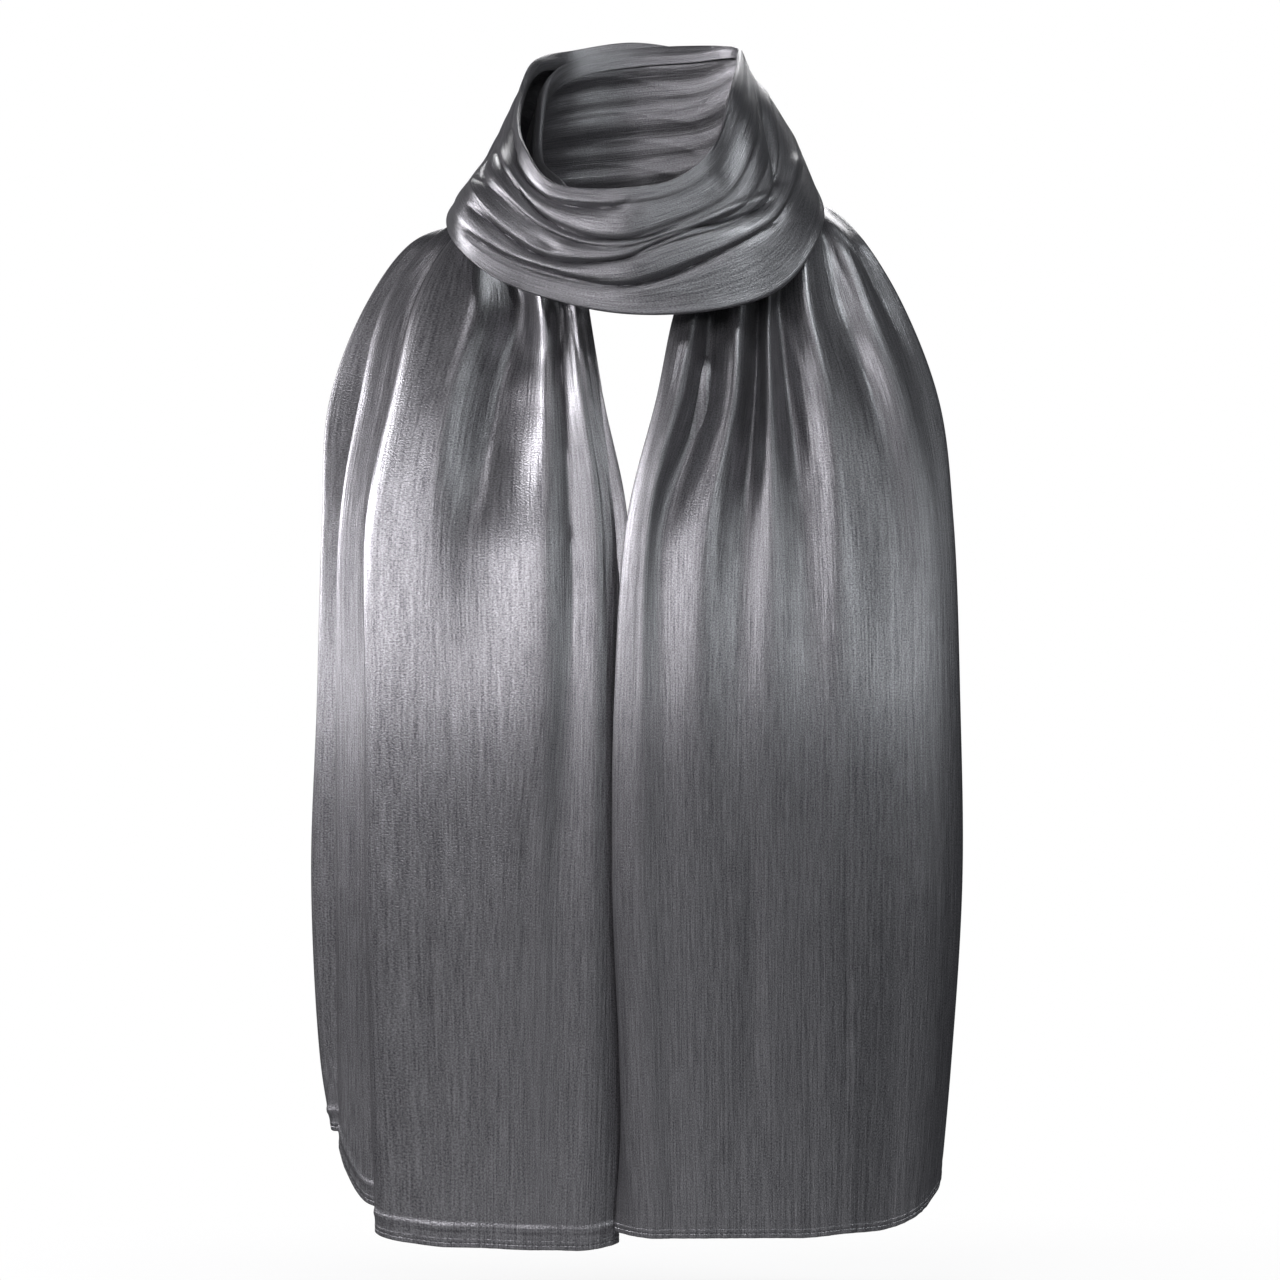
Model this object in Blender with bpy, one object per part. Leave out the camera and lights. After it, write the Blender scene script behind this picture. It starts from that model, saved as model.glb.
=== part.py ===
"""Crinkled satin hijab, worn wound once round the neck with both ends hanging in front.

One rectangle of cloth is followed from its left hem to its right hem, as five solids:
left_tail, nape_under, neck_swag, nape_over and right_tail. Each is a thin wall on a
surface drawn through named fold lines. The origin is the middle of the neck opening
where the shoulders carry the cloth, the wearer's front faces -Y and +Z is up.
"""
import bpy
import numpy as np

MM = 0.001
WALL = 1.2 * MM
STRETCH_GAP = 0.5 * MM
HEM_BAND = 4.5 * MM
HEM_EXTRA = 0.5 * MM
MITRE_LIMIT = 0.6
GHOST = 0.1

# Body that the tails lie on, at yoke, bust, rib, waist, hip, low and hem: the height, how
# far ahead of the neck its front is, and how fast that falls back sideways.
BODY_HEIGHT = np.array((-55, -110, -176, -275, -374, -473, -574)) * MM
BODY_FRONT = np.array((-82, -109, -123, -136, -138, -135, -132)) * MM
BODY_FALL = np.array((1.7, 1.7, 1.3, 1.0, 0.85, 0.8, 0.75))

# Fold lines of the left tail, from the hidden selvage behind it to its outer edge.
# Columns: x at collar, yoke, bust, rib, waist, hip, low, hem, then the hem's height.
LEFT_ACROSS = (
    ("selvage", -58, -50, -62, -72, -82, -88, -92, -96, -562),
    ("back panel", -52, -44, -44, -42, -46, -50, -52, -55, -566),
    ("back turn", -45, -36, -27, -14, -15, -16, -16, -21, -570),
    ("inner fold", -38, -29, -20, -7, -8, -9, -9, -12, -572),
    ("inner ridge", -46, -36, -31, -22, -22, -23, -24, -28, -576),
    ("inner crease", -55, -45, -42, -38, -39, -44, -46, -48, -576),
    ("middle ridge", -64, -54, -53, -52, -52, -60, -62, -62, -576),
    ("deep trough", -77, -66, -79, -88, -87, -86, -86, -86, -575),
    ("outer ridge", -92, -93, -108, -118, -119, -119, -117, -115, -574),
    ("front pleat", -108, -125, -138, -151, -151, -151, -148, -145, -567),
    ("front tuck", -101, -116, -128, -140, -140, -140, -138, -135, -557),
    ("second band", -110, -131, -144, -155, -155, -155, -154, -152, -550),
    ("second pleat", -119, -143, -156, -166, -167, -167, -166, -165, -520),
    ("second tuck", -112, -135, -147, -157, -158, -158, -157, -156, -514),
    ("outer edge", -128, -153, -173, -176, -178, -181, -176, -170, -512),
    ("outer return", -117, -143, -160, -164, -166, -168, -163, -158, -508),
)
# Depth of the same lines behind the body's front, at the same stations.
LEFT_DEPTH = (
    ("selvage", 15, 21, 22, 23, 23, 22, 22, 21),
    ("back panel", 12, 17, 19, 20, 20, 20, 20, 19),
    ("back turn", 8, 12, 14, 16, 17, 17, 17, 16),
    ("inner fold", 4, 8, 10, 12, 13, 13, 13, 12),
    ("inner ridge", -1, 3, 4, 6, 7, 7, 7, 7),
    ("inner crease", 4, 10, 10, 9, 8.5, 7.5, 6.5, 6),
    ("middle ridge", -2, 0, 1, 2.5, 5, 5.5, 5.5, 5.5),
    ("deep trough", 6, 18, 17, 11, 5.5, 5.5, 5.5, 5.5),
    ("outer ridge", -2, 0, 0, 2, 4, 4.5, 4.5, 4.5),
    ("front pleat", 1, 4, 4, 5, 5, 5, 5, 5),
    ("front tuck", 6, 12, 14, 14, 13, 12, 12, 12),
    ("second band", 5, 12, 14, 14, 13, 12, 12, 12),
    ("second pleat", 5, 12, 14, 14, 13, 12, 12, 12),
    ("second tuck", 11, 20, 23, 22, 20, 20, 20, 21),
    ("outer edge", 10, 19, 22, 22, 20, 20, 20, 21),
    ("outer return", 17, 28, 30, 29, 27, 27, 27, 28),
)
# Fold lines of the right tail, in the same order and columns.
RIGHT_ACROSS = (
    ("selvage", 56, 42, 54, 62, 66, 72, 80, 86, -558),
    ("back panel", 50, 35, 33, 29, 27, 29, 34, 37, -562),
    ("back turn", 43, 27, 15, 0, -7, -8, -7, -14, -565),
    ("inner fold", 36, 21, 9, -7, -14, -15, -11, -8, -567),
    ("inner ridge", 44, 31, 20, 4, -1, -2, 2, 6, -569),
    ("inner trough", 53, 41, 34, 13, 12, 14, 16, 18, -569),
    ("front ridge", 62, 55, 51, 37, 32, 32, 33, 34, -569),
    ("pleat left", 70, 66, 63, 57, 53, 52, 53, 53, -569),
    ("narrow pleat", 75, 71, 71, 73, 73, 73, 73, 73, -569),
    ("pleat right", 80, 77, 82, 88, 92, 92, 92, 92, -569),
    ("side ridge", 90, 92, 104, 111, 114, 114, 114, 112, -567),
    ("side trough", 101, 110, 129, 139, 140, 140, 138, 134, -565),
    ("outer ridge", 110, 125, 145, 156, 158, 159, 155, 148, -560),
    ("outer crease", 118, 137, 155, 166, 168, 169, 164, 157, -553),
    ("outer edge", 125, 146, 166, 173, 176, 177, 171, 165, -537),
    ("outer return", 116, 138, 154, 160, 161, 161, 155, 151, -522),
)
RIGHT_DEPTH = (
    ("selvage", 15, 15, 15, 15, 15, 15, 15, 15),
    ("back panel", 12, 13, 13, 13, 13, 13, 13, 13),
    ("back turn", 9, 9, 9, 9, 9, 9, 9, 8),
    ("inner fold", 4, 3, 3, 3, 3, 3, 3, 3),
    ("inner ridge", -1, -3, -3, -3, -2, -2, -2, -2),
    ("inner trough", 4, 9, 10, 4, -1, -1.5, -1.5, -1.5),
    ("front ridge", -2, -5, -5, -4, -2.5, -2, -2, -2),
    ("pleat left", 4, 10, 9, 4, -0.5, -1.5, -1.5, -1.5),
    ("narrow pleat", 0, -1, -1, -2, -1.5, -1.5, -1.5, -1.5),
    ("pleat right", 4, 9, 8, 3, -0.5, -1.5, -1.5, -1.5),
    ("side ridge", -2, -4, -4, -4, -2, -1.5, -1.5, -1.5),
    ("side trough", 2, 4, 4, 2, 0, 0, 0, 0),
    ("outer ridge", -1, -2, -2, -1, 0, 0, 0, 0),
    ("outer crease", 2, 4, 3, 2, 2, 2, 2, 2),
    ("outer edge", 3, 7, 8, 8, 8, 8, 8, 8),
    ("outer return", 10, 16, 18, 18, 18, 18, 18, 18),
)

# The gathered band at each shoulder. Rows are stations from the nape down to the crest.
# Columns: the band's neck edge x, y, z, its outer edge x, y, z, how far its folds sink.
LEFT_SHOULDER = (
    ("nape", -53, 33, 76, -70, 38, 2, 0.1),
    ("side", -57, 10, 54, -84, 24, -6, 0.6),
    ("crest", -56, -16, 28, -101, 13, -8, 0.9),
)
RIGHT_SHOULDER = (
    ("nape", 64, 62, 60, 78, 72, -10, 0.1),
    ("blade", 87, 47, 20, 101, 48, -13, 0.5),
    ("side", 86, 24, 1, 111, 24, -5, 0.7),
    ("crest", 60, -16, 0, 106, 8, 2, 0.9),
)
# Where the collar row of each tail lies: x, y, z at spots from the neck outwards.
LEFT_COLLAR = (
    ("neck edge", -36, -62, 8),
    ("under the swag", -62, -56, -14),
    ("gathers", -92, -42, -25),
    ("outer gathers", -108, -33, -22),
    ("outer edge", -128, -22, -15),
)
RIGHT_COLLAR = (
    ("neck edge", 36, -70, -22),
    ("under the swag", 62, -60, -16),
    ("gathers", 90, -42, -14),
    ("outer gathers", 110, -34, -14),
    ("outer edge", 125, -30, -18),
)
# Along the shoulder's rows: each fold line's share of the band's width, and how far it
# sinks in mm, always and where the band is gathered.
SHARE = (0.14, 0.08, 0.02, 0.0, 0.07, 0.16, 0.26, 0.36, 0.46, 0.55, 0.64, 0.72, 0.81, 0.89, 1.0, 0.96)
ROUNDING = (5, 5, 4, 2, 0, 0, 0, 0, 0, 0, 0, 0, 0, 0, 1, 5)
GATHER = (0, 0, 0, 0, 0, 2, 0, 3, 0, 0, 3, 0, 0, 2.5, 0, 0)

# Fold lines of the swag, top to bottom. Columns are turns round the neck in degrees,
# from behind the left side (-) to behind the right side (+).
TURNS = np.radians((-120, -90, -64, -40, -5, 28, 50, 72, 95, 120))
SWAG_ACROSS = (
    ("top", -60, -68, -64, -48, -13, 20, 41, 51, 56, 54),
    ("first crease", -63, -71, -67, -51, -14, 20, 45, 58, 59, 56),
    ("roll top", -67, -78, -75, -52, -15, 18, 51, 66, 62, 58),
    ("roll bottom", -71, -84, -84, -56, -16, 19, 54, 71, 65, 61),
    ("third crease", -75, -89, -94, -62, -18, 22, 58, 77, 73, 66),
    ("fourth crease", -80, -98, -102, -69, -14, 28, 69, 86, 89, 72),
    ("bottom", -85, -106, -101, -74, -13, 48, 80, 101, 96, 77),
)
SWAG_HEIGHT = (
    ("top", 85, 59, 31, 10, 6, 12, 31, 63, 87, 93),
    ("first crease", 76, 51, 20, 2, -3, 3, 20, 51, 82, 87),
    ("roll top", 66, 40, 20, -9, -22, -13, 4, 36, 77, 79),
    ("roll bottom", 55, 30, 11, -14, -27, -18, -5, 22, 72, 70),
    ("third crease", 44, 24, 4, -27, -34, -22, -9, 15, 64, 60),
    ("fourth crease", 29, 13, -12, -36, -48, -36, -16, 8, 36, 38),
    ("bottom", 12, 0, -24, -45, -62, -59, -46, -14, 13, 20),
)
# For each of those lines: how far in front of the neck's middle, how far behind it, how far
# the cloth tucks in at the crease, how much it bulges below it.
SWAG_FORM = (
    ("top", 105, 76, 0, 0.6),
    ("first crease", 108, 77, 2.4, 0.6),
    ("roll top", 110, 78, 2.4, 0.4),
    ("roll bottom", 110.5, 80, 2.8, 0.6),
    ("third crease", 110.5, 82, 3.4, 0.6),
    ("fourth crease", 109.5, 88, 3.2, 0.5),
    ("bottom", 108, 92, 0, 0),
)
# How much of that tuck and bulge each crease has at each turn.
SWAG_CREASES = (
    ("top", 0.1, 0.5, 0.8, 0.8, 0.8, 0.8, 0.8, 0.8, 0.5, 0.1),
    ("first crease", 0.1, 0.7, 1, 1, 0.7, 0.1, 0, 0, 0, 0),
    ("roll top", 0.1, 0.5, 0.8, 0.9, 0.9, 0.8, 1, 1, 0.3, 0),
    ("roll bottom", 0.1, 0.7, 1, 1, 1, 0.6, 0.4, 0.3, 0, 0),
    ("third crease", 0.1, 0.7, 1, 1, 0.9, 1, 1, 1, 0.5, 0.1),
    ("fourth crease", 0.1, 0.6, 1, 1, 1, 1, 1, 0.9, 0.5, 0.1),
    ("bottom", 0, 0, 0, 0, 0, 0, 0, 0, 0, 0),
)
# Size of the folded edges at each turn, as a share of ROLL.
SWAG_ROLL = np.array((0.7, 0.7, 0.8, 1.0, 1.0, 1.0, 0.9, 0.7, 0.6, 0.6))
ROLL = 7 * MM
# Rows that turn in behind the swag's top edge and under its bottom edge, as shares of that
# size. Columns: how far towards the neck, how far down along the leaning cloth.
TOP_TURN = (("hidden edge", 0.95, 1.2), ("return", 0.8, 0.7), ("bend", 0.36, 0.05))
BOTTOM_TURN = (("bend", 0.5, -0.05), ("hidden edge", 1.0, -0.8))
# Folds: how steeply the swag's reach falls off sideways, the tuck from which a crease is a
# step, the share of a fold that a crease may use, how far below its edge a tuck sits, and
# where the two rows lie that keep a fold nearly flat.
FRONT_POWER = 0.6
DEEP_TUCK = 1.9 * MM
FOLD_ROOM = 0.5
TUCK_STEP = 0.8 * MM
TUCK_DROP = 0.3
FACET_ROWS = (0.24, 0.8)

# The two layers behind the neck. Columns: turn, top edge x, y, z, bottom edge x, y, z.
NAPE_UNDER = (
    ("left", -150, -34, 56, 88, -42, 64, 4),
    ("middle", 180, 0, 66, 94, 0, 74, 8),
    ("right", 150, 32, 58, 95, 42, 62, 16),
)
NAPE_OVER = (
    ("left", -150, -38, 70, 93, -52, 80, -2),
    ("middle", 180, 0, 79, 98, 0, 92, -7),
    ("right", 155, 38, 74, 88, 46, 86, -9),
)
# Soft folds in both layers, and how far their two edges turn in. Columns: share of the
# width, reach either side as a share, depth in mm.
NAPE_FOLDS = (
    ("high fold", 0.25, 0.06, 2.4),
    ("upper fold", 0.39, 0.045, 1.2),
    ("middle fold", 0.53, 0.07, 2.6),
    ("lower fold", 0.68, 0.045, 1.3),
    ("low fold", 0.81, 0.055, 2.1),
)
NAPE_TURN = ((0, 5.5), (0.07, 4), (0.14, 0), (0.94, 0), (1, 5))

# Mesh density: parts between fold lines, and rows along each stretch.
TAIL_COLUMNS = (1, 1, 1, 2, 2, 2, 2, 2, 2, 2, 2, 2, 2, 2, 1)
LEFT_ROWS = (1, 3, 3, 3, 4, 4, 3, 3, 2, 2, 2)
RIGHT_ROWS = (1, 3, 3, 3, 3, 4, 4, 3, 3, 2, 2, 2)
SWAG_COLUMNS = (1, 1, 1) + (1, 1, 1) + (1, 1, 1, 1) * 5 + (1, 1)
SWAG_ROWS = 34
NAPE_ROWS = 13
FOLD_SHARES = (0, 0.14, 0.94, 1)
NAPE_SHARES = np.array(
    (0, 0.047, 0.093, 0.14, 0.17, 0.21, 0.27, 0.34, 0.41, 0.48, 0.55, 0.62, 0.69, 0.76, 0.83, 0.89, 0.94, 1)
)

SATIN = (0.115, 0.112, 0.122, 1.0)


def bend(points, spots):
    """Smooth curve through points along the first axis, read at spots (index plus share).

    Hermite pieces with slopes from both neighbours, each step as long as the square root
    of its chord, so close points make tight turns.
    """
    first = 2 * points[:1] - points[1:2]
    last = 2 * points[-1:] - points[-2:-1]
    chain = np.concatenate((first, points, last))
    reach = np.sqrt(np.linalg.norm(np.diff(chain, axis=0), axis=-1, keepdims=True)) + 1e-6
    rate = np.diff(chain, axis=0) / reach
    slope = (rate[:-1] * reach[1:] + rate[1:] * reach[:-1]) / (reach[:-1] + reach[1:])
    low = np.clip(np.floor(spots).astype(int), 0, len(points) - 2)
    t = np.reshape(spots - low, (-1,) + (1,) * (points.ndim - 1))
    step = reach[1:-1][low]
    start, end = points[low], points[low + 1]
    return (
        (2 * t**3 - 3 * t**2 + 1) * start
        + (t**3 - 2 * t**2 + t) * slope[low] * step
        + (3 * t**2 - 2 * t**3) * end
        + (t**3 - t**2) * slope[low + 1] * step
    )


def unit(vectors):
    """Vectors made one long."""
    return vectors / np.maximum(np.linalg.norm(vectors, axis=-1, keepdims=True), 1e-12)


def numbers(table):
    """The numbers of a table, without the name of each row."""
    return np.array([row[1:] for row in table], dtype=float)


def columns(table):
    """The numbers of a table of millimetres, in metres."""
    return numbers(table) * MM


def shoulder_rows(table, neck_ward):
    """Gathered rows over a shoulder, sunk square to the band, towards the body."""
    rows = columns(table)
    start, width = rows[:, :3], rows[:, 3:6] - rows[:, :3]
    along = unit(np.gradient(start + width / 2, axis=0))
    inward = unit(np.cross(along, unit(width))) * neck_ward
    share = np.array(SHARE)[:, None, None]
    sunk = np.array(ROUNDING)[:, None, None] * MM + np.array(GATHER)[:, None, None] * rows[:, 6:]
    return list(np.swapaxes(start + share * width + sunk * inward, 0, 1))


def tail_lines(across, depth, collar, shoulder, before, neck_ward):
    """Fold lines of a tail by station: past the nape, the shoulder, the collar, the body."""
    x = columns(across)
    d = columns(depth)
    chest_x, hem_z = x[:, 1:8], x[:, 8:]
    z = np.tile(BODY_HEIGHT, (len(x), 1))
    z[:, -1:] = hem_z
    y = BODY_FRONT + BODY_FALL * chest_x**2 + d[:, 1:]
    chest = np.stack((chest_x, y, z), axis=-1)
    spots = columns(collar)
    order = np.argsort(spots[:, 0])
    collar_x = x[:, 0]
    collar_y = np.interp(collar_x, spots[order, 0], spots[order, 1]) + d[:, 0]
    collar_z = np.interp(collar_x, spots[order, 0], spots[order, 2]) - 0.5 * d[:, 0]
    collar_row = np.stack((collar_x, collar_y, collar_z), axis=-1)
    rows = [before] + shoulder_rows(shoulder, neck_ward) + [collar_row]
    return np.concatenate((np.stack(rows, axis=1), chest), axis=1)


def swag_lines():
    """Fold lines of the swag by turn, with a tuck above and a bulge below each crease.

    A line's depth is its reach times a flattened cosine of the turn in front of the neck,
    and times a plain cosine behind it. Tucks and bulges go square to the leaning cloth.
    """
    x = columns(SWAG_ACROSS)
    z = columns(SWAG_HEIGHT)
    front, back, tuck, bulge = (columns(SWAG_FORM)[:, k:k + 1] for k in range(4))
    cosine = np.cos(TURNS)
    ahead = np.abs(cosine) ** FRONT_POWER * front
    behind = np.abs(cosine) * back
    y = np.where(cosine > 0, -ahead, behind)
    lines = np.stack((x, y, z), axis=-1)
    lean = unit(lines[-1] - lines[0])
    round_neck = unit(np.gradient(lines.mean(axis=0), axis=0))
    out = unit(np.cross(lean, round_neck))
    strong = numbers(SWAG_CREASES)[:, :, None]
    roll = ROLL * SWAG_ROLL[:, None]
    rows = [lines[0] + roll * (down * lean - inward * out) for inward, down in numbers(TOP_TURN)]
    chord = np.linalg.norm(np.diff(lines, axis=0), axis=-1, keepdims=True)
    spare = FOLD_ROOM * np.maximum(chord - 3 * WALL, 0)
    for k in range(len(lines) - 1):
        room = np.minimum(spare[k], spare[max(k - 1, 0)])
        sunk = np.minimum(tuck[k] * strong[k], room)
        low = lines[k] - sunk * out
        if tuck[k] > DEEP_TUCK:
            rows.append(lines[k])
            low = low + (TUCK_DROP * sunk + TUCK_STEP) * lean
        rows.append(low)
        swell = np.minimum(bulge[k] * strong[k], spare[k])
        rows += [low + share * (lines[k + 1] - low) + swell * out for share in FACET_ROWS]
    rows.append(lines[-1])
    rows += [lines[-1] + roll * (down * lean - inward * out) for inward, down in numbers(BOTTOM_TURN)]
    return np.stack(rows)


def line_shares(fold, edge, count):
    """Share of the cloth's width at each fold line, its folded edges at fixed shares."""
    return np.interp(np.arange(count), (0, fold, edge, count - 1), FOLD_SHARES)


def nape_section(row, shape):
    """A section behind the neck: its edges shared out and turned in, with bell-shaped folds."""
    edges = np.array(row[2:], dtype=float) * MM
    share = np.interp(shape, FOLD_SHARES, (0.12, 0, 1, 0.97))[:, None]
    turn = np.array(NAPE_TURN)
    depth = np.interp(shape, turn[:, 0], turn[:, 1])
    for at, reach, size in numbers(NAPE_FOLDS):
        depth = depth + size * np.exp(-(((shape - at) / reach) ** 2))
    middle = (edges[:3] + edges[3:]) / 2
    inward = unit(-middle * np.array((1, 1, 0)))
    return edges[:3] + share * (edges[3:] - edges[:3]) + depth[:, None] * MM * inward


def grid(lines, across_spots, along_spots):
    """Surface through the fold lines: first along each line, then across the lines."""
    along = bend(np.swapaxes(lines, 0, 1), along_spots)
    return bend(np.swapaxes(along, 0, 1), across_spots)


def heading(points, square_to=None):
    """Direction along the first axis, halfway between the steps before and after a point.

    Steps are first made square to a second direction if one is given. Also returned is the
    cosine of half the turn between the two steps.
    """
    steps = np.diff(points, axis=0)
    pair = np.stack((np.concatenate((steps[:1], steps)), np.concatenate((steps, steps[-1:]))))
    if square_to is not None:
        pair = pair - (pair * square_to).sum(axis=-1, keepdims=True) * square_to
    both = unit(pair).sum(axis=0)
    return unit(both), np.linalg.norm(both, axis=-1, keepdims=True) / 2


def wall(name, points, thickness, ghosts):
    """Closed solid on a grid: both faces half a thickness off it, joined round the rim.

    The offset grows with the turn between two steps, as a mitre does, up to a limit.
    Ghosts says whether the first and the last row belong to the neighbours: they steer the
    slopes, are left out, and the row beside each is pulled back by half the gap.
    """
    along = np.swapaxes(heading(np.swapaxes(points, 0, 1))[0], 0, 1)
    across, turn = heading(points, along)
    out = unit(np.cross(across, along)) * thickness / 2 / np.maximum(turn, MITRE_LIMIT)
    if ghosts[0]:
        points, along, out = points[:, 1:], along[:, 1:], out[:, 1:]
        points[:, 0] += along[:, 0] * STRETCH_GAP / 2
    if ghosts[1]:
        points, along, out = points[:, :-1], along[:, :-1], out[:, :-1]
        points[:, -1] -= along[:, -1] * STRETCH_GAP / 2
    count_u, count_v = points.shape[:2]
    verts = np.concatenate(((points + out).reshape(-1, 3), (points - out).reshape(-1, 3)))
    total = count_u * count_v
    number = np.arange(total).reshape(count_u, count_v)
    corners = (number[:-1, :-1], number[1:, :-1], number[1:, 1:], number[:-1, 1:])
    front = np.stack(corners, axis=-1).reshape(-1, 4)
    back = front[:, ::-1] + total
    rim = np.concatenate((number[:-1, 0], number[-1, :-1], number[:0:-1, -1], number[0, :0:-1]))
    follow = np.roll(rim, -1)
    side = np.stack((follow, rim, rim + total, follow + total), axis=-1)
    mesh = bpy.data.meshes.new(name)
    mesh.from_pydata(verts.tolist(), [], np.concatenate((front, back, side)).tolist())
    mesh.shade_smooth()
    mesh.set_sharp_from_angle(angle=np.radians(60))
    mesh.materials.append(satin(name))
    bpy.context.scene.collection.objects.link(bpy.data.objects.new(name, mesh))


def satin(name):
    """Charcoal satin, glossy enough to catch a broad light."""
    material = bpy.data.materials.new(name + "_satin")
    material.use_nodes = True
    shader = material.node_tree.nodes["Principled BSDF"]
    shader.inputs["Base Color"].default_value = SATIN
    shader.inputs["Roughness"].default_value = 0.38
    shader.inputs["Metallic"].default_value = 0.35
    return material


def spread(counts):
    """Line numbers cut into equal parts, with a count of parts for each step."""
    return np.concatenate([k + np.arange(n) / n for k, n in enumerate(counts)] + [[len(counts)]])


def tail(name, lines, rows):
    """A tail from its seam behind the neck, station 1, to its doubled hem."""
    along = spread(rows)[rows[0]:]
    stations = lines.shape[1] - 1
    last_step = np.linalg.norm(lines[:, -1] - lines[:, -2], axis=-1).mean()
    hem_top = stations - HEM_BAND / last_step
    along = np.concatenate(((1 - GHOST,), along[:-1], (hem_top - 0.007, hem_top, stations)))
    points = grid(lines, spread(TAIL_COLUMNS), along)
    doubled = np.arange(len(along)) >= len(along) - 2
    wall(name, points, WALL + HEM_EXTRA * doubled[:, None], (True, False))


def nape(name, before, rows, after):
    """A layer behind the neck between two sections that its neighbours end on."""
    middle = [nape_section(row, NAPE_SHARES) for row in rows]
    lines = np.stack(before + middle + after, axis=1)
    last = lines.shape[1] - 2
    along = np.concatenate(((1 - GHOST,), np.linspace(1, last, NAPE_ROWS), (last + GHOST,)))
    wall(name, np.swapaxes(bend(np.swapaxes(lines, 0, 1), along), 0, 1), WALL, (True, True))


def sections(lines, stations, fold, edge):
    """Sections of a stretch at some stations, read at the shares that a nape layer uses."""
    spots = np.interp(NAPE_SHARES, FOLD_SHARES, (0, fold, edge, len(lines) - 1))
    return [bend(lines[:, station], spots) for station in stations]


def build():
    """The five stretches, in the order of the cloth."""
    for thing in list(bpy.data.objects):
        bpy.data.objects.remove(thing)
    tail_share = line_shares(3, 14, 16)
    left_start = nape_section(NAPE_UNDER[0], tail_share)
    left = tail_lines(LEFT_ACROSS, LEFT_DEPTH, LEFT_COLLAR, LEFT_SHOULDER, left_start, 1)
    right_start = nape_section(NAPE_OVER[-1], tail_share)
    right = tail_lines(RIGHT_ACROSS, RIGHT_DEPTH, RIGHT_COLLAR, RIGHT_SHOULDER, right_start, -1)
    swag = swag_lines()
    edge = len(swag) - 3
    swag_share = line_shares(3, edge, len(swag))
    swag_start = nape_section(NAPE_OVER[0], swag_share)
    swag_end = nape_section(NAPE_UNDER[-1], swag_share)
    swag = np.concatenate((swag_start[:, None], swag, swag_end[:, None]), axis=1)
    tail("left_tail", left, LEFT_ROWS)
    nape("nape_under", sections(left, (2, 1), 3, 14), NAPE_UNDER,
         sections(swag, (-2, -3), 3, edge))
    last = swag.shape[1] - 2
    along = np.concatenate(((1 - GHOST,), np.linspace(1, last, SWAG_ROWS), (last + GHOST,)))
    wall("neck_swag", grid(swag, spread(SWAG_COLUMNS), along), WALL, (True, True))
    nape("nape_over", sections(swag, (2, 1), 3, edge), NAPE_OVER,
         sections(right, (1, 2), 3, 14))
    tail("right_tail", right, RIGHT_ROWS)


build()
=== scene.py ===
"""Crinkled satin hijab worn wound once round the neck, dressed for the render.

The cloth is followed from hem to hem in five stretches, each a thin shell on the form of
its solid, with its creases, crinkle and stitched hems added. Positions are in metres in
the solids' own frame: the wearer's front faces -Y and +Z is up.
"""

import bpy
import numpy as np
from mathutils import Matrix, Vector


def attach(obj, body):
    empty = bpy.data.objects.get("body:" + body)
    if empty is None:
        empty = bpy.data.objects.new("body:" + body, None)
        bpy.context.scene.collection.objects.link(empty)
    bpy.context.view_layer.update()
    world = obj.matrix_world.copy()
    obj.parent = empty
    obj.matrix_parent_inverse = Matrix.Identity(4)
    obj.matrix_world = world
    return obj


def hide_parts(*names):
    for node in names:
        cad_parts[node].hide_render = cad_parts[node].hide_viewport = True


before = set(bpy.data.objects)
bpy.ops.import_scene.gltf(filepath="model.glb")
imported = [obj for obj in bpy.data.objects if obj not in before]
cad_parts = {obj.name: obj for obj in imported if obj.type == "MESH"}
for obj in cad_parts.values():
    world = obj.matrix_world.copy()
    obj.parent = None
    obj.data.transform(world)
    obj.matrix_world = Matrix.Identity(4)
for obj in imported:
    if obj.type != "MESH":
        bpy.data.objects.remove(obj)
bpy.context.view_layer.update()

MM = 0.001

# Body that the tails lie on, at yoke, bust, rib, waist, hip, low and hem: the height, how
# far ahead of the neck its front is, and how fast that falls back with the square of x.
BODY_HEIGHT = np.array((-55, -110, -176, -275, -374, -473, -574)) * MM
BODY_FRONT = np.array((-82, -109, -123, -136, -138, -135, -132)) * MM
BODY_FALL = np.array((1.7, 1.7, 1.3, 1.0, 0.85, 0.8, 0.75))

# Fold lines of the left tail, from the hidden selvage behind it to its outer edge.
# Columns: x at collar, yoke, bust, rib, waist, hip, low, hem, then the hem's height.
LEFT_ACROSS = (
    ("selvage", -58, -50, -62, -72, -82, -88, -92, -96, -562),
    ("back panel", -52, -44, -44, -42, -46, -50, -52, -55, -566),
    ("back turn", -45, -36, -27, -14, -15, -16, -16, -21, -570),
    ("inner fold", -38, -29, -20, -7, -8, -9, -9, -12, -572),
    ("inner ridge", -46, -36, -31, -22, -22, -23, -24, -28, -576),
    ("inner crease", -55, -45, -42, -38, -39, -44, -46, -48, -576),
    ("middle ridge", -64, -54, -53, -52, -52, -60, -62, -62, -576),
    ("deep trough", -77, -66, -79, -88, -87, -86, -86, -86, -575),
    ("outer ridge", -92, -93, -108, -118, -119, -119, -117, -115, -574),
    ("front pleat", -108, -125, -138, -151, -151, -151, -148, -145, -567),
    ("front tuck", -101, -116, -128, -140, -140, -140, -138, -135, -557),
    ("second band", -110, -131, -144, -155, -155, -155, -154, -152, -550),
    ("second pleat", -119, -143, -156, -166, -167, -167, -166, -165, -520),
    ("second tuck", -112, -135, -147, -157, -158, -158, -157, -156, -514),
    ("outer edge", -128, -153, -173, -176, -178, -181, -176, -170, -512),
    ("outer return", -117, -143, -160, -164, -166, -168, -163, -158, -508),
)
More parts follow.
